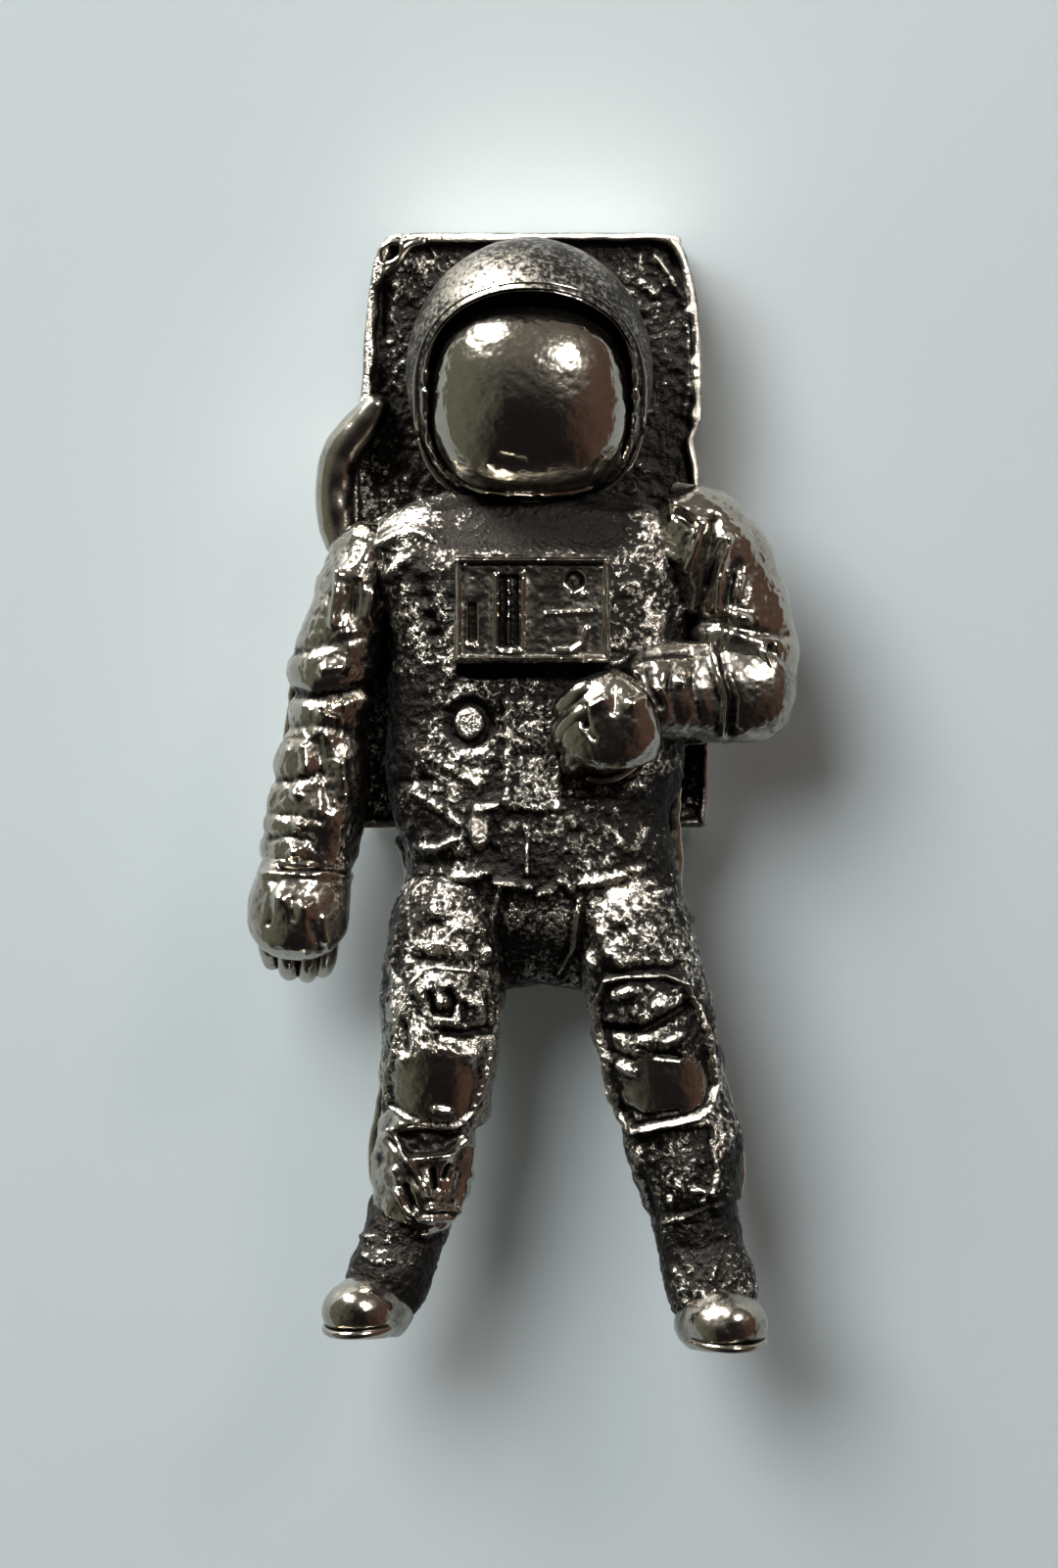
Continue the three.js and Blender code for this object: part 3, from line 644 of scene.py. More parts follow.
unit_left, unit_right = [(-3.14, -2.09), (-0.29, -2.02)], [(-3.14, 2.04), (-0.29, 1.99)]
rings = slab(-3.14, -0.29, unit_left, unit_right, -6.85, -4.6, 0.07, 120, 160)
x, y, z = np.moveaxis(rings, -1, 0)
face = ease(-y, 6.75, 6.82)
frame_line = [-1.94, -0.45, -1.94, -3.01, 1.91, -3.01, 1.88, -0.45, -1.94, -0.45]
relief = crumple(rings, 0.022, 0.22, 0.02, 0.9, 101)
relief += face * folds(
    x, z, (0.09, 0.055, *frame_line), (0.1, 0.07, -1.99, -0.45, 1.94, -0.45),
    (0.1, 0.05, -0.63, -0.99, -0.63, -2.62), (0.09, 0.05, 0.34, -1.86, 1.47, -1.81),
    (0.09, 0.06, 0.89, -1.13, 1.02, -1.34), (0.1, 0.07, 1.34, -1.36),
    (0.1, 0.06, 1.41, -2.25, 1.31, -2.62, 0.99, -2.83, 0.58, -2.83), (0.1, 0.07, -1.78, -0.6),
    (0.11, 0.07, 1.75, -0.65), (0.1, 0.06, -1.7, -2.67, -1.52, -2.72), (0.11, 0.07, 0.08, -3.19),
    (0.09, 0.05, -0.97, -0.84, -0.97, -2.72, -0.79, -2.88, -0.31, -2.83),
    (0.08, 0.05, -0.26, -0.79, -0.26, -2.72))
relief -= face * 0.16 * pane(x, z, -0.86, -0.37, -2.72, -0.84, 0.03)
relief -= face * 0.11 * pane(x, z, -1.68, -1.47, -2.57, -1.57, 0.04)
relief -= face * 0.15 * oval(x, z, 1.1, -0.97, 0.24, 0.24, 0.3)
relief += face * folds(
    x, z, (0.12, 0.05, -0.63, -1.62), (0.12, 0.05, -0.63, -1.94), (0.12, 0.05, -0.6, -1.31))
cast("chest_unit", rings, relief, polished, depth=0.07, black=0.06)


# ---------------------------------------------------------------- right arm and glove
# The hanging arm. The suit's folds are cast across it, and the glove's fingers curl back under the palm.

rings = limb(
    [(-4.29, -3.5, 0.71), (-4.45, -3.8, -0.65), (-4.79, -4.0, -1.62), (-5.03, -4.05, -2.36),
        (-5.29, -4.1, -3.32), (-5.5, -4.15, -5.16), (-5.65, -4.2, -6.02), (-5.81, -4.3, -7.46),
        (-6.05, -4.35, -8.64), (-6.13, -4.4, -9.21)],
    [0.9, 1.02, 1.04, 1.08, 1.14, 1.1, 1.18, 1.28, 1.2, 1.0],
    [1.1, 1.35, 1.35, 1.3, 1.28, 1.25, 1.3, 1.3, 1.2, 1.0], 270, 210)
x, y, z = np.moveaxis(rings, -1, 0)
relief = crumple(rings, 0.05, 0.34, 0.14, 0.8, 61)
relief += folds(
    x, z, (-0.19, 0.2, -6.65, -3.82, -5.86, -4.03, -4.76, -3.87, -4.03, -3.66),
    (-0.08, 0.15, -6.39, -2.83, -5.6, -2.72, -4.5, -2.41),
    (-0.08, 0.15, -6.75, -4.82, -5.86, -4.74, -4.82, -4.87, -4.35, -5.03),
    (-0.09, 0.15, -6.81, -6.2, -6.07, -6.13, -5.6, -6.02),
    (-0.09, 0.13, -5.65, -5.24, -5.52, -6.07, -5.39, -6.86),
    (-0.08, 0.13, -6.91, -7.07, -6.23, -7.12, -5.6, -7.28),
    (-0.1, 0.14, -7.02, -7.7, -6.39, -7.67, -5.92, -7.75), (0.16, 0.17, -5.5, -3.35, -5.08, -3.25),
    (0.16, 0.15, -6.02, -5.37, -5.97, -5.89), (0.16, 0.15, -5.08, -5.76, -5.03, -6.6),
    (0.14, 0.15, -6.23, -6.6), (0.14, 0.13, -6.15, -7.38), (0.15, 0.15, -6.28, -8.12),
    (0.18, 0.13, -5.08, -0.79, -5.26, -2.09), (0.13, 0.1, -4.24, -1.2, -4.4, -1.88, -4.14, -2.3),
    (0.12, 0.1, -3.9, -1.57, -3.82, -2.09), (-0.14, 0.12, -4.66, -1.05, -4.76, -2.09),
    (0.12, 0.1, -5.21, -4.58, -5.6, -4.4))
cast("right_arm", rings, relief, polished, depth=0.10)

rings = limb(
    [(-5.86, -4.3, -7.8), (-6.05, -4.4, -8.69), (-6.2, -4.6, -9.55), (-6.23, -4.7, -10.21),
        (-6.23, -4.5, -10.94)],
    [1.0, 1.24, 1.36, 1.3, 0.8], [1.0, 1.28, 1.4, 1.3, 0.8], 200, 200, 2.0)
x, y, z = np.moveaxis(rings, -1, 0)
relief = crumple(rings, 0.03, 0.4, 0.05, 0.8, 64)
relief += folds(
    x, z, (0.1, 0.12, -7.12, -8.69, -6.39, -8.64, -5.6, -8.64, -4.92, -8.74),
    (-0.2, 0.09, -6.65, -8.51, -5.92, -8.56, -5.08, -8.46), (0.2, 0.28, -6.65, -9.35),
    (0.17, 0.25, -6.02, -9.58), (-0.05, 0.1, -6.31, -9.37, -6.28, -9.84),
    (-0.06, 0.1, -5.81, -9.95, -5.6, -10.6), (0.05, 0.1, -5.5, -9.84, -5.39, -10.63),
    (-0.05, 0.1, -6.78, -8.9, -6.96, -9.95))
cast("right_glove", rings, relief, polished, depth=0.08)

for name, route, size in (
    ("first", [(-5.52, -4.8, -9.55), (-5.45, -4.7, -10.21), (-5.5, -4.2, -10.92), (-5.65, -3.7, -11.26)],
        0.30),
    ("second",
        [(-5.97, -4.6, -10.21), (-5.94, -4.5, -10.86), (-5.97, -4.1, -11.23), (-5.99, -3.7, -11.31)], 0.27),
    ("third", [(-6.47, -4.6, -10.21), (-6.49, -4.5, -10.79), (-6.49, -4.1, -11.13), (-6.47, -3.7, -11.26)],
        0.29),
    ("fourth", [(-6.96, -4.5, -9.95), (-7.02, -4.4, -10.5), (-6.96, -4.0, -10.86), (-6.88, -3.7, -11.1)],
        0.27),
):
    skin(f"right_{name}_finger", limb(route, [size] * 4, [size * 1.2] * 4, 60, 32), polished, 0.46)


# ---------------------------------------------------------------- left arm and glove
# The bent arm comes forward across the belly: shoulder and upper arm, a round elbow, a forearm with a
# cuff, and a closed glove seen from its back.

rings = limb(
    [(3.35, -3.9, 0.92), (4.24, -4.1, 0.39), (5.08, -4.2, -0.97), (5.58, -4.3, -2.49), (5.71, -4.4, -3.8),
        (5.58, -4.5, -5.18)],
    [0.9, 1.36, 1.5, 1.42, 1.3, 0.9], [1.2, 1.5, 1.5, 1.45, 1.4, 1.0], 270, 220)
x, y, z = np.moveaxis(rings, -1, 0)
relief = crumple(rings, 0.035, 0.34, 0.10, 0.9, 66)
relief *= 1 - 0.7 * oval(x, z, 5.6, -3.4, 0.8, 0.9)
relief += folds(
    x, z, (0.18, 0.18, 3.46, 1.26, 3.82, 0.99), (-0.16, 0.12, 3.82, 0.84, 4.14, 0.58),
    (0.2, 0.15, 4.5, 0.52, 4.24, -0.26, 4.08, -0.63), (-0.14, 0.15, 4.79, 0.63, 4.66, -0.16, 4.5, -1.05),
    (0.2, 0.16, 5.08, 0.1, 4.92, -0.79, 4.87, -1.7), (-0.12, 0.14, 5.34, -0.52, 5.18, -1.31, 5.13, -1.88),
    (0.15, 0.12, 5.45, -0.89, 5.34, -1.36), (0.16, 0.11, 5.13, -1.78, 5.65, -1.99),
    (-0.14, 0.15, 4.08, -2.09, 4.87, -2.04, 5.92, -2.3, 6.7, -2.36),
    (0.14, 0.09, 6.07, -2.83, 6.26, -3.4, 6.44, -4.24), (-0.16, 0.09, 6.28, -2.67, 6.49, -3.4, 6.65, -4.19),
    (-0.14, 0.1, 5.0, 0.0, 4.08, -2.09), (0.1, 0.1, 3.3, 0.0, 3.82, -0.39))
cast("left_upper_arm", rings, relief, polished, depth=0.11, black=-0.06)

rings = limb(
    [(6.91, -4.3, -3.66), (5.92, -4.6, -3.77), (4.66, -4.9, -3.85), (3.82, -5.3, -3.87),
        (2.91, -5.7, -3.98), (2.15, -5.8, -4.19)],
    [1.15, 1.38, 1.34, 1.26, 1.14, 0.9], [1.2, 1.35, 1.3, 1.2, 1.1, 0.8], 230, 220)
x, y, z = np.moveaxis(rings, -1, 0)
relief = crumple(rings, 0.03, 0.4, 0.04, 0.7, 68)
relief += folds(
    x, z, (0.16, 0.09, 4.66, -2.72, 4.79, -3.4, 5.03, -4.06, 4.97, -4.92),
    (-0.13, 0.12, 4.9, -2.67, 5.05, -3.4, 5.26, -4.06, 5.21, -4.92), (0.16, 0.13, 3.87, -3.66),
    (0.14, 0.14, 3.3, -3.82), (-0.07, 0.12, 3.64, -3.14, 3.56, -3.82, 3.82, -4.58),
    (-0.09, 0.12, 3.04, -3.25, 3.06, -3.77, 3.35, -4.24), (0.13, 0.12, 2.72, -3.4),
    (-0.06, 0.12, 4.24, -2.93, 4.19, -3.66, 4.4, -4.58), (0.12, 0.09, 2.77, -2.72, 3.82, -2.62, 4.5, -2.72),
    (-0.12, 0.1, 2.91, -2.93, 4.08, -2.83))
cast("left_forearm", rings, relief, polished, depth=0.08, black=0.14)

rings = limb(
    [(2.93, -6.0, -3.98), (2.41, -6.3, -4.37), (1.99, -6.4, -4.84), (1.68, -6.3, -5.45),
        (1.57, -6.1, -5.92)],
    [0.9, 1.32, 1.42, 1.15, 0.7], [0.9, 1.15, 1.15, 1.0, 0.6], 190, 220)
x, y, z = np.moveaxis(rings, -1, 0)
relief = crumple(rings, 0.025, 0.4, 0.03, 0.7, 70)
relief += folds(
    x, z, (0.17, 0.15, 1.54, -4.32, 1.83, -4.14), (0.16, 0.15, 2.57, -4.24, 2.83, -4.14),
    (-0.07, 0.12, 2.2, -3.82, 2.15, -4.4), (-0.16, 0.09, 1.26, -4.29, 1.36, -4.76),
    (-0.07, 0.1, 1.2, -4.61, 1.57, -5.13))
cast("left_glove", rings, relief, polished, depth=0.08)

for name, route, size in (
    ("first", [(1.62, -6.75, -3.72), (1.26, -6.85, -3.93), (0.92, -6.6, -4.19), (0.76, -6.0, -4.45)], 0.33),
    ("second", [(1.57, -6.9, -4.29), (1.2, -6.9, -4.58), (0.86, -6.6, -4.92), (0.76, -6.0, -5.18)], 0.35),
    ("third", [(1.52, -6.8, -4.92), (1.26, -6.8, -5.26), (1.07, -6.5, -5.6), (1.07, -5.9, -5.86)], 0.34),
):
    skin(f"left_{name}_finger", limb(route, [size] * 4, [size * 1.2] * 4, 60, 32), polished, 0.46)
skin("left_palm_edge",
    tube(
        [(3.25, -5.4, -5.03), (2.83, -5.7, -5.63), (2.3, -5.8, -6.05), (1.78, -5.9, -6.2),
            (1.36, -5.9, -6.1)],
        0.13, 90, 20),
    polished, 0.42)


# ---------------------------------------------------------------- thighs and their pockets
# Each thigh carries a big strapped pocket: a thin raised line round a smooth bulge with a button and a
# fold. The hips above the pockets are crumpled, and their high spots are polished bright.

rings = limb(
    [(-2.04, -3.9, -8.51), (-2.25, -4.2, -9.95), (-2.36, -4.35, -11.78), (-2.49, -4.35, -13.61),
        (-2.59, -4.2, -14.92), (-2.7, -4.1, -15.92)],
    [1.15, 1.5, 1.62, 1.52, 1.42, 1.2], [1.5, 1.8, 1.8, 1.7, 1.5, 1.3], 280, 210)
x, y, z = np.moveaxis(rings, -1, 0)
face = ease(-y, 4.3, 4.9)
pocket = [-2.54, -11.1, -1.54, -11.23, -1.23, -11.52, -1.07, -12.04, -1.07, -12.7, -1.15, -13.61, -1.34,
    -14.4, -1.57, -14.97, -1.91, -15.24, -2.36, -15.37, -2.98, -15.24, -3.8, -14.82, -3.9, -14.32, -3.66,
    -13.27, -3.46, -12.38, -3.19, -11.57, -2.83, -11.15, -2.54, -11.1]
smooth = oval(x, z, -2.54, -14.27, 1.2, 0.9, 0.3)
relief = crumple(rings, 0.055, 0.26, 0.08, 0.5, 72) * (1 - 0.75 * smooth)
relief += face * seams(x, z, 0.07, 0.06, pocket)
relief += face * folds(
    x, z, (0.15, 0.22, -2.88, -11.83), (0.14, 0.14, -2.2, -11.57), (0.22, 0.12, -2.41, -12.02),
    (-0.24, 0.09, -2.72, -11.83, -2.57, -12.3, -2.2, -12.33, -2.04, -12.04, -2.2, -11.73),
    (0.16, 0.14, -1.44, -12.09, -1.41, -12.46), (-0.26, 0.13, -2.3, -12.8, -1.73, -12.88, -1.15, -12.77),
    (0.18, 0.2, -1.62, -13.4), (0.1, 0.16, -3.46, -13.61), (-0.16, 0.1, -3.4, -12.72, -3.35, -13.25),
    (-0.14, 0.09, -1.83, -12.09, -1.78, -12.57), (0.1, 0.07, -2.57, -14.84, -2.2, -14.9),
    (0.2, 0.17, -2.57, -9.69), (0.18, 0.15, -1.94, -10.08), (0.17, 0.15, -2.41, -10.52),
    (0.17, 0.13, -1.78, -10.68), (0.15, 0.12, -1.2, -10.68),
    (-0.1, 0.14, -2.98, -10.89, -1.94, -10.99, -1.15, -11.1), (0.14, 0.12, -3.25, -10.99))
cast("right_thigh", rings, relief, grainy, depth=0.09, black=0.20 - 0.14 * face * smooth,
    grain=1 - 0.85 * smooth)

rings = limb(
    [(2.09, -3.9, -8.51), (2.54, -4.2, -9.95), (2.98, -4.35, -11.65), (3.35, -4.35, -13.35),
        (3.72, -4.2, -14.79), (4.01, -4.1, -15.92)],
    [1.2, 1.55, 1.62, 1.6, 1.52, 1.4], [1.5, 1.8, 1.8, 1.7, 1.5, 1.3], 280, 210)
x, y, z = np.moveaxis(rings, -1, 0)
face = ease(-y, 4.3, 4.9)
pocket = [1.94, -11.47, 2.51, -11.36, 3.48, -11.34, 3.98, -11.57, 4.29, -12.15, 4.58, -12.98, 4.74, -13.72,
    4.84, -14.24, 4.66, -14.82, 4.37, -15.03, 3.66, -15.24, 2.96, -15.34, 2.62, -15.42, 2.3, -15.0, 2.07,
    -14.24, 1.91, -13.53, 1.75, -12.83, 1.7, -12.07, 1.94, -11.47]
smooth = oval(x, z, 3.51, -14.27, 1.2, 0.9, 0.3)
relief = crumple(rings, 0.055, 0.26, 0.08, 0.5, 74) * (1 - 0.75 * smooth)
relief += face * seams(x, z, 0.17, 0.07, pocket)
relief += face * folds(
    x, z, (0.18, 0.16, 2.15, -11.88, 2.57, -11.73), (0.2, 0.22, 3.32, -12.12),
    (-0.28, 0.13, 1.94, -12.72, 2.91, -12.77, 4.08, -12.15), (0.16, 0.13, 3.46, -13.14, 3.87, -12.88),
    (-0.14, 0.09, 3.25, -13.4, 3.82, -13.46), (0.13, 0.1, 2.25, -13.72, 2.67, -13.87),
    (-0.12, 0.1, 2.04, -13.4, 2.51, -13.51), (-0.1, 0.08, 2.51, -14.87, 2.93, -15.05, 3.82, -14.92),
    (0.11, 0.1, 2.67, -12.3), (0.2, 0.16, 2.25, -9.9), (0.18, 0.15, 2.67, -10.26),
    (0.22, 0.2, 2.04, -10.68, 2.41, -11.05), (0.16, 0.13, 1.78, -10.21), (0.15, 0.12, 3.04, -10.94),
    (-0.1, 0.14, 1.62, -11.26, 2.77, -11.2, 3.82, -11.1), (0.14, 0.12, 3.25, -9.21, 3.82, -9.03),
    (0.14, 0.12, 1.52, -10.86, 1.73, -11.2))
extra_black = 0.20 - 0.10 * ease(z, -11.26, -10.47) - 0.14 * face * smooth
cast("left_thigh", rings, relief, grainy, depth=0.09, black=extra_black, grain=1 - 0.85 * smooth)


# ---------------------------------------------------------------- shins, cuffs and boots
# Below the knees the gaiters end in a cuff line. The ankles are grainy and black, and the boots are short
# round toes with a sole rim, polished bright on top.

rings = limb(
    [(-2.64, -3.8, -14.27), (-2.8, -4.1, -15.31), (-2.96, -4.2, -16.36), (-3.09, -4.15, -17.41),
        (-3.22, -4.0, -18.38)],
    [1.2, 1.26, 1.3, 1.16, 0.9], [1.2, 1.4, 1.45, 1.35, 1.0], 160, 190)
x, y, z = np.moveaxis(rings, -1, 0)
knee = oval(x, z, -2.83, -15.71, 0.85, 0.36, 0.3)
relief = 0.04 * grit(rings, 0.3, 76) + 0.10 * mottle(rings, 0.45, 77) * (1 - knee)
relief -= 0.22 * knee
relief += folds(
    x, z, (0.2, 0.08, -3.74, -15.45, -3.4, -16.02, -3.09, -16.44, -2.88, -16.86),
    (0.2, 0.11, -2.77, -16.7, -2.77, -17.07),
    (0.18, 0.09, -1.68, -15.92, -1.78, -16.65, -1.94, -17.23, -2.25, -17.7, -2.98, -17.77),
    (0.16, 0.1, -3.25, -16.18, -2.72, -16.13, -2.15, -16.07, -1.83, -15.71),
    (-0.25, 0.08, -2.59, -16.49, -2.57, -16.91), (-0.25, 0.07, -2.2, -16.39, -2.28, -16.65),
    (-0.22, 0.09, -3.35, -16.91, -3.14, -17.43), (0.18, 0.09, -3.56, -17.02, -3.4, -17.43, -3.14, -17.59),
    (0.15, 0.1, -2.72, -17.43, -2.2, -17.49), (0.12, 0.1, -3.64, -16.49, -3.56, -16.75))
cast("right_shin", rings, relief, polished, depth=0.09, black=0.34 * knee - 0.05)

rings = limb(
    [(-3.04, -3.8, -16.75), (-3.27, -4.0, -17.8), (-3.53, -4.15, -18.59), (-3.82, -4.3, -19.37),
        (-4.24, -4.5, -20.55)],
    [1.1, 1.12, 1.07, 1.1, 0.9], [1.1, 1.2, 1.1, 1.15, 0.9], 190, 170)
x, y, z = np.moveaxis(rings, -1, 0)
relief = crumple(rings, 0.045, 0.22, 0.05, 0.6, 84)
relief += 0.6 * folds(
    x, z, (0.16, 0.08, -2.88, -18.22, -2.46, -18.06), (0.14, 0.08, -4.66, -18.3, -4.19, -18.27),
    (0.16, 0.09, -4.14, -18.93, -3.72, -18.87), (-0.06, 0.12, -4.42, -18.53, -3.51, -18.48, -2.59, -18.38),
    (0.12, 0.09, -4.45, -18.74, -4.29, -18.85))
cast("right_ankle", rings, relief, grainy, depth=0.08, black=0.64)

rings = limb(
    [(3.72, -3.8, -14.27), (3.9, -4.1, -15.31), (4.08, -4.2, -16.36), (4.24, -4.15, -17.33),
        (4.37, -4.0, -18.27)],
    [1.4, 1.55, 1.5, 1.26, 1.0], [1.2, 1.4, 1.45, 1.35, 1.0], 160, 190)
x, y, z = np.moveaxis(rings, -1, 0)
face = ease(-y, 4.4, 5.0)
panel = pane(x, z, 2.83, 4.76, -17.75, -15.34, 0.12)
relief = crumple(rings, 0.05, 0.3, 0.04, 0.5, 78)
relief -= face * 0.14 * panel
relief += face * seams(x, z, 0.06, 0.06,
    [2.88, -15.65, 3.56, -15.29, 4.37, -15.05, 4.71, -15.21, 4.76, -16.07, 4.9, -16.54, 4.71, -17.28],
    [2.17, -15.03, 2.64, -15.73, 2.41, -15.97, 2.88, -16.99, 3.09, -17.96, 4.21, -17.7, 5.03, -17.38])
relief += face * folds(
    x, z, (0.14, 0.1, 4.21, -17.02, 4.66, -17.07, 4.5, -17.33), (0.12, 0.1, 3.56, -17.33),
    (0.1, 0.09, 3.06, -16.23), (0.1, 0.08, 4.5, -16.28), (0.1, 0.09, 3.82, -16.91))
cast("left_shin", rings, relief, grainy, depth=0.09, black=0.42 + 0.2 * face * panel)

rings = limb(
    [(4.19, -3.8, -16.75), (4.32, -4.0, -17.85), (4.48, -4.15, -18.72), (4.74, -4.3, -19.63),
        (5.0, -4.5, -20.81)],
    [1.1, 1.15, 1.12, 1.2, 1.0], [1.1, 1.2, 1.1, 1.15, 0.9], 190, 170)
x, y, z = np.moveaxis(rings, -1, 0)
relief = crumple(rings, 0.045, 0.22, 0.05, 0.6, 86)
relief += 0.7 * folds(
    x, z, (0.14, 0.08, 4.82, -19.06, 4.71, -19.37), (0.16, 0.11, 4.53, -19.79), (0.12, 0.1, 4.66, -20.21),
    (-0.05, 0.12, 3.82, -18.59, 5.26, -18.38), (0.12, 0.09, 3.72, -19.11, 3.87, -19.27))
cast("left_ankle", rings, relief, grainy, depth=0.08, black=0.33)


def boot(middle, half, turn):
    """An egg whose long axis points forward, turned about the vertical and flattened below."""
    u = np.linspace(0.01, np.pi - 0.01, 110)[:, None]
    v = full_turn(140)[None]
    x = half[0] * np.sin(u) ** 0.85 * np.cos(v)
    y = -half[1] * np.cos(u) * np.ones_like(v)
    z = half[2] * np.sin(u) ** 0.85 * np.sin(v)
    z = np.where(z < -0.72 * half[2], -0.72 * half[2] + 0.15 * (z + 0.72 * half[2]), z)
    c, s = np.cos(turn), np.sin(turn)
    return np.stack([middle[0] + x * c - y * s, middle[1] + x * s + y * c, middle[2] + z], -1)


def sole(name, middle, half, turn):
    """The sole's edge: a bead along the lower half of the toe's outline."""
    a = np.radians(np.linspace(205, 335, 14))
    x, y = half[0] * 0.93 * np.cos(a), half[1] * 0.96 * np.sin(a)
    z = -0.60 * half[2] + 0.25 * (1 - np.abs(np.sin(a)))
    c, s = np.cos(turn), np.sin(turn)
    route = np.stack([middle[0] + x * c - y * s, middle[1] + x * s + y * c, middle[2] + z], 1)
    skin(name, tube(route, 0.11, 100, 20), polished, 0.42)


for name, middle, half, turn in (
    ("right", (-4.35, -4.85, -20.21), (1.10, 1.6, 0.92), math.radians(-22)),
    ("left", (4.97, -4.85, -20.55), (1.20, 1.6, 0.95), math.radians(14)),
):
    rings = boot(middle, half, turn)
    relief = crumple(rings, 0.02, 0.4, 0.05, 0.7, 80)
    cast(f"{name}_boot", rings, relief, polished, depth=0.07)
    sole(f"{name}_sole", middle, half, turn)


# ---------------------------------------------------------------- parting line
# Where the two halves of the mould met, a thin fin of metal runs down the outer edges, trimmed but still
# there.

for name, route in (
    ("arm",
        [(3.66, 1.57), (4.29, 1.49), (4.95, 0.97), (5.6, 0.1), (6.18, -0.71), (6.62, -1.65),
            (6.83, -2.62), (6.83, -3.77), (6.54, -4.37), (5.86, -4.87), (5.0, -5.08)]),
    ("forearm", [(4.82, -5.0), (4.14, -5.1), (3.66, -5.08)]),
    ("hip", [(3.85, -6.28), (3.77, -7.2), (3.85, -8.12), (3.82, -9.03), (3.98, -10.34), (4.16, -11.26)]),
    ("leg",
        [(4.08, -11.31), (4.37, -12.15), (4.71, -13.14), (5.08, -14.4), (5.39, -15.71), (5.52, -16.7),
            (5.42, -17.43)]),
    ("right_arm",
        [(-4.92, -0.16), (-5.31, -0.84), (-5.73, -1.88), (-6.23, -3.14), (-6.41, -4.19), (-6.52, -5.24),
            (-6.7, -6.28), (-6.88, -7.59), (-7.17, -8.64), (-7.36, -9.69)]),
    ("right_leg",
        [(-3.56, -11.13), (-3.8, -12.3), (-3.87, -13.61), (-3.98, -14.66), (-4.19, -15.71),
            (-4.19, -16.75), (-4.03, -17.43)]),
    ("waist", [(-3.56, -7.64), (-3.27, -8.48), (-3.35, -9.29), (-3.56, -10.34)]),
):
    line = [(a * 0.99, -3.55 - 0.1 * math.sin(3 * k), b) for k, (a, b) in enumerate(route)]
    rings = limb(line, [0.2] * len(line), [0.14] * len(line), 150, 18)
    skin(f"parting_{name}", rings + 0.04 * mottle(rings, 0.3, 91)[..., None], polished, 0.42)


# ---------------------------------------------------------------- tack
# A turned steel tack is soldered to the pack's back. Its pad sits in a fillet of grey solder, and its post
# has a ring groove for the clutch and a ground point. Pad and post are nickel plated.

def scuffed_plate():
    """Plated metal: slow stains and small spots dull it, and fine scuffs run over all of it."""
    grey = (0.5, 0.5, 0.5, 1)
    group, given, result = node_group("scuffed_plate", Bright=grey, Dull=grey, Stain=1.0)
    fine = noise(group, 5200.0, 3.0, 0.6)
    slow = maths(group, "MULTIPLY", noise(group, 480.0, 4.0, 0.6), given["Stain"])
    spots = maths(group, "MULTIPLY", soft_range(group, fine, 0.60, 0.70), 0.5)
    dull = maths(group, "MAXIMUM", soft_range(group, slow, 0.44, 0.74), spots)
    group.links.new(blend_colour(group, dull, given["Bright"], given["Dull"]), result["Color"])
    rough = maths(group, "ADD", maths(group, "MULTIPLY", dull, 0.28), maths(group, "MULTIPLY", fine, 0.18))
    group.links.new(maths(group, "ADD", rough, 0.10), result["Roughness"])
    group.links.new(fine, result["Height"])
    return group


plate_group = scuffed_plate()


def plated(name, bright, dull, stain, bump):
    """Plated metal of one colour; stain is how much of it is dulled and bump the height of its scuffs."""
    material, _, given = metal(name, plate_group, bump)
    given["Bright"].default_value = (*bright, 1)
    given["Dull"].default_value = (*dull, 1)
    given["Stain"].default_value = stain
    return material


def rounded(corners, radius):
    """A line through the corners with a bend at each inner one: it leaves a radius before the corner and
    comes back a radius after it, with a point of support on either side."""
    corners = np.asarray(corners, float)
    route = [corners[:1]]
    for before, at, after in zip(corners, corners[1:], corners[2:]):
        to_before, to_after = (before - at), (after - at)
        a = to_before * min(radius / np.linalg.norm(to_before), 0.3)
        b = to_after * min(radius / np.linalg.norm(to_after), 0.3)
        t = np.linspace(0, 1, 7)[:, None]
        route += [at + 1.5 * a[None], at + (1 - t) ** 2 * a + t * t * b, at + 1.5 * b[None]]
    return np.vstack(route + [corners[-1:]])


def lathe(profile, around=160):
    """Rings round the post's axis, one for each (radius, y) of the profile."""
    a = full_turn(around)
    radius, y = np.asarray(profile)[:, :1], np.asarray(profile)[:, 1:]
    return np.stack([radius * np.cos(a), y + 0 * a, radius * np.sin(a)], -1)


steel = plated("plated_steel", (0.60, 0.60, 0.59), (0.36, 0.35, 0.33), stain=0.86, bump=0.004)
pad_profile = rounded([(0.02, 0.02), (2.5, 0.02), (2.5, 0.52), (0.02, 0.52)], 0.07)
skin("tack_pad", lathe(pad_profile), steel, node="post_pad", slot="plated_steel")
post_profile = rounded(
    [(0.02, 0.03), (0.55, 0.03), (0.55, 6.57), (0.43, 6.66), (0.43, 6.98), (0.55, 7.07), (0.55, 7.66),
        (0.05, 8.50), (0.01, 8.52)],
    0.05)
skin("tack_pin", lathe(post_profile, 96), steel, node="tack_post", slot="plated_steel")

solder = plated("soft_solder", (0.46, 0.46, 0.47), (0.22, 0.22, 0.22), stain=1.15, bump=0.02)
fillet = rounded(
    [(2.52, 0.2), (2.52, 0.02), (3.0, 0.02), (2.72, 0.16), (2.60, 0.36), (2.52, 0.36), (2.52, 0.2)], 0.04)
rings = np.swapaxes(lathe(fillet, 240), 0, 1)
flat = rings * [1, 0, 1]
from_post = np.linalg.norm(flat, axis=-1, keepdims=True)
lumps = 0.5 + 0.5 * mottle(flat, 0.9, 95)[..., None]
rings = rings + flat / from_post * 0.12 * lumps * ease(from_post, 2.6, 3.0)
looped("solder_ring", rings, solder, node="solder_fillet", slot="soft_solder")


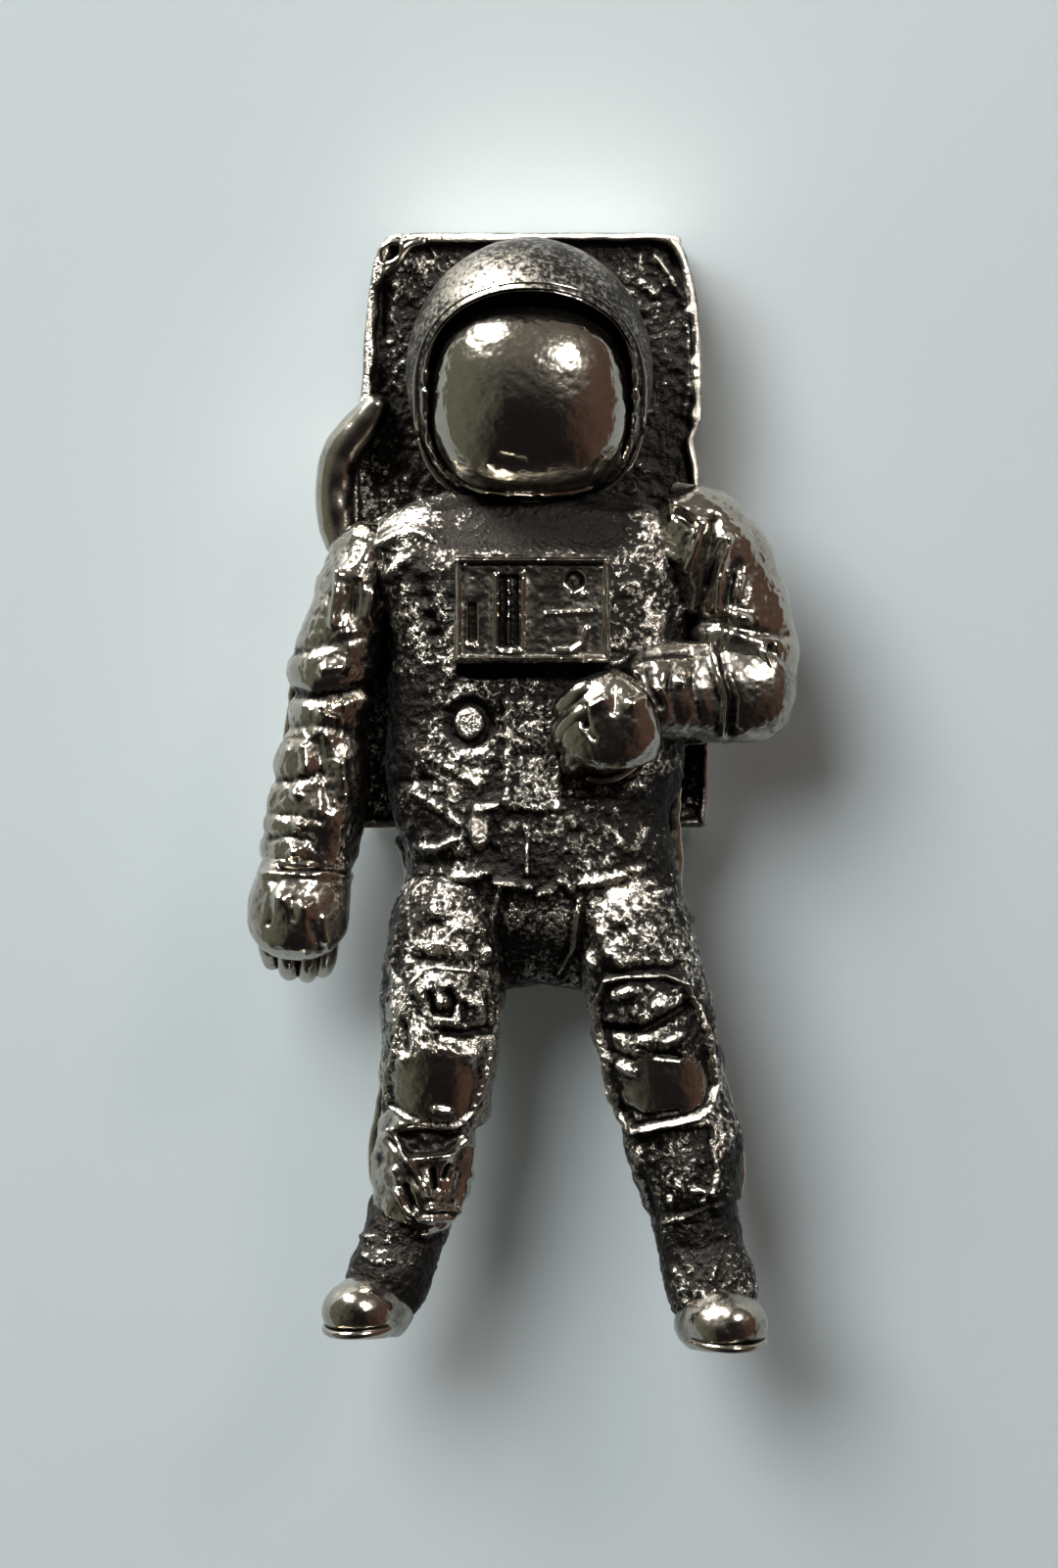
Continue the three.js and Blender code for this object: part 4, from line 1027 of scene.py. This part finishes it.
# ---------------------------------------------------------------- clutch
# The clutch is stamped from thin plated sheet: a beaded disc whose two folded flanges hold the seat of a
# bent strip. The strip's ends stand up as wings, and their arms cross round the post to grip it.

def sheet(name, points, keep, body, node, turn=False):
    """A mesh of the middle surface of a sheet 0.3 thick: a grid of points with quads where keep is true,
    joined round if turn, then thickened both ways with its cut edges rounded."""
    rows, columns = points.shape[:2]
    index = np.arange(rows * columns).reshape(rows, columns)
    if turn:
        index = np.concatenate([index, index[:, :1]], axis=1)
    quads = np.stack([index[:-1, :-1], index[:-1, 1:], index[1:, 1:], index[1:, :-1]], -1)[keep]
    used, quads = np.unique(quads, return_inverse=True)
    mesh = bpy.data.meshes.new(name)
    mesh.from_pydata((points.reshape(-1, 3)[used] * MM).tolist(), [], quads.reshape(-1, 4).tolist())
    piece = finish(name, mesh, nickel, {}, body, node, "plated_brass")
    thick = piece.modifiers.new("thickness", "SOLIDIFY")
    thick.thickness = 0.3 * MM
    thick.offset = 0.0
    edges = piece.modifiers.new("cut_edges", "BEVEL")
    edges.width = 0.05 * MM
    edges.segments = 3
    edges.limit_method = "ANGLE"
    edges.angle_limit = math.radians(50)


def arc(x, y, radius, start, end, steps):
    """Points round an arc, from one angle to another in degrees."""
    a = np.radians(np.linspace(start, end, steps))
    return np.stack([x + radius * np.cos(a), y + radius * np.sin(a)], 1)


nickel = plated("plated_brass", (0.64, 0.62, 0.57), (0.42, 0.36, 0.25), stain=0.86, bump=0.004)
turns = full_turn(180)
radius = np.linspace(0.67, 5.7, 64)[:, None]
pressed = 2.17 - 0.22 * (1 - ease(np.abs(radius - 4.6), 0.05, 0.5))
points = np.stack([radius * np.cos(turns), pressed + 0 * turns, radius * np.sin(turns)], -1)
sheet("clutch_disc", points, np.full((63, 180), True), "clutch", "clutch_base", turn=True)

for name, side in (("upper", 1), ("lower", -1)):
    fold = rounded([(2.42, 2.25), (2.42, 2.81), (1.82, 2.81)], 0.16)
    x = np.linspace(-2.0, 2.0, 41)[None]
    points = np.stack([x + 0 * fold[:, :1], fold[:, 1:] + 0 * x, side * fold[:, :1] + 0 * x], -1)
    sheet(f"clutch_{name}_flange", points, np.full((len(fold) - 1, 40), True), "clutch", "clutch_base")

outline = rim_reach(turns, 24, 4.0, 2.2)
share = np.linspace(0, 1, 24)[:, None]
radius = 0.67 + (outline - 0.67) * share
points = np.stack([radius * np.cos(turns), 2.49 + 0 * radius, radius * np.sin(turns)], -1)
sheet("clutch_seat", points, np.full((23, 180), True), "clutch", "clutch_spring_seat", turn=True)

# The right wing narrows to a neck with a slot in it, and passes through the window in the left one's arm.
bend = arc(4.0, 3.09, 0.6, -83.3, -20, 16)
top = arc(5.2354, 6.0458, 0.45, -20, 108, 28)
ear = np.linspace(bend[-1], top[0], 24)[1:-1]
arm_steps = ((top[-1, 0], 1.9, 28), (1.9, 1.0, 8), (1.0, -1.0, 16), (-1.0, -1.4, 5))
arm_x = np.concatenate([np.linspace(a, b, n)[1:] for a, b, n in arm_steps])
arm = np.stack([arm_x, top[-1, 1] - (top[-1, 0] - arm_x) * math.tan(math.radians(18))], 1)
line = np.concatenate([bend, ear, top, arm])
cuts = [-2.0, -1.275, -0.975, -0.62, 0.62, 0.975, 1.275, 2.0]
z = np.concatenate([[-2.0]] + [np.linspace(a, b, 8)[1:] for a, b in zip(cuts, cuts[1:])])
x_middle = ((line[1:, 0] + line[:-1, 0]) / 2)[:, None]
z_middle = np.abs((z[1:] + z[:-1]) / 2)[None]
crossing = (x_middle > -1.0) & (x_middle < 1.9)
window = crossing & (z_middle < 1.275)
beside_neck = (x_middle < 1.9) & (z_middle > 0.975)
slot = crossing & (x_middle < 1.0) & (z_middle < 0.62)
for name, side, keep in (("left", -1, ~window), ("right", 1, ~(beside_neck | slot))):
    points = np.stack([side * line[:, :1] + 0 * z, line[:, 1:] + 0 * z, z + 0 * line[:, :1]], -1)
    sheet(f"{name}_wing", points, keep, f"wing_{name}", f"clutch_wing_{name}")


# ---------------------------------------------------------------- pale card, lights and camera
# A plain pale card stands behind the pack; the post and the clutch are on its far side. It shows from the
# front only, and light passes it from behind.

def plain_card():
    """A square card that shadow rays and rays from behind pass through."""
    half, y = 0.06, 0.00056
    corners = [(-half, y, -half), (half, y, -half), (half, y, half), (-half, y, half)]
    mesh = bpy.data.meshes.new("pale_card")
    mesh.from_pydata(corners, [], [(0, 1, 2, 3)])
    material = bpy.data.materials.new("pale_card")
    material.use_nodes = True
    tree = material.node_tree
    shader = tree.nodes["Principled BSDF"]
    shader.inputs["Base Color"].default_value = (0.52, 0.60, 0.64, 1)
    shader.inputs["Roughness"].default_value = 0.7
    clear = tree.nodes.new("ShaderNodeBsdfTransparent")
    mix = tree.nodes.new("ShaderNodeMixShader")
    path = tree.nodes.new("ShaderNodeLightPath")
    side = tree.nodes.new("ShaderNodeNewGeometry")
    tree.links.new(maths(tree, "MAXIMUM", path.outputs["Is Shadow Ray"], side.outputs["Backfacing"]),
        mix.inputs["Fac"])
    tree.links.new(shader.outputs[0], mix.inputs[1])
    tree.links.new(clear.outputs[0], mix.inputs[2])
    tree.links.new(mix.outputs[0], tree.nodes["Material Output"].inputs["Surface"])
    mesh.materials.append(material)
    put("pale_card", mesh)


plain_card()


def lamp(name, way, distance, size, watts, colour):
    """A round soft light that stands the given way from the badge and faces it."""
    data = bpy.data.lights.new(name, "AREA")
    data.shape = "DISK"
    data.size = size
    data.energy = watts
    data.color = colour
    stand = put(name, data)
    aim = Vector((0, -0.004, -0.004))
    stand.location = aim + Vector(way).normalized() * distance
    stand.rotation_euler = (aim - stand.location).to_track_quat("-Z", "Y").to_euler()
    return stand


lamp("window_left", (-0.475, -0.30, 0.83), 0.45, 0.18, 13.0, (1.0, 0.98, 0.94)).visible_diffuse = False
lamp("window_right", (0.446, -0.718, 0.537), 0.45, 0.09, 4.0, (1.0, 0.98, 0.94)).visible_diffuse = False
lamp("card_light", (-0.38, -0.80, 0.40), 0.45, 0.28, 2.0, (1.0, 0.99, 0.97)).visible_glossy = False
lamp("back_fill", (0.0, 1.0, 0.3), 0.35, 0.25, 1.2, (0.95, 0.98, 1.0))

world = bpy.data.worlds.new("room")
bpy.context.scene.world = world
world.use_nodes = True
tree = world.node_tree
where = tree.nodes.new("ShaderNodeTexCoord")
split = tree.nodes.new("ShaderNodeSeparateXYZ")
tree.links.new(where.outputs["Generated"], split.inputs[0])
up = soft_range(tree, split.outputs["Z"], -0.15, 0.85)
left = soft_range(tree, maths(tree, "MULTIPLY", split.outputs["X"], -1.0), 0.25, 1.0)
ahead = soft_range(tree, maths(tree, "MULTIPLY", split.outputs["Y"], -1.0), -0.5, 0.0)
right = maths(tree, "MULTIPLY", soft_range(tree, split.outputs["X"], 0.3, 1.0), ahead)
room = blend_colour(tree, up, (0.020, 0.017, 0.018), (0.23, 0.212, 0.180))
room = blend_colour(tree, left, room, (0.24, 0.25, 0.19))
room = blend_colour(tree, right, room, (0.17, 0.10, 0.075))
path = tree.nodes.new("ShaderNodeLightPath")
tree.links.new(blend_colour(tree, path.outputs["Is Camera Ray"], room, (0.62, 0.68, 0.71)),
    tree.nodes["Background"].inputs["Color"])

camera_data = bpy.data.cameras.new("camera")
camera_data.lens = 146.0
camera_data.clip_start = 0.01
camera = put("camera", camera_data)
camera.location = (-0.0001, -0.173, -0.0063)
camera.rotation_euler = (math.pi / 2, 0, 0)
bpy.context.scene.camera = camera
bpy.context.scene.view_settings.view_transform = "Standard"
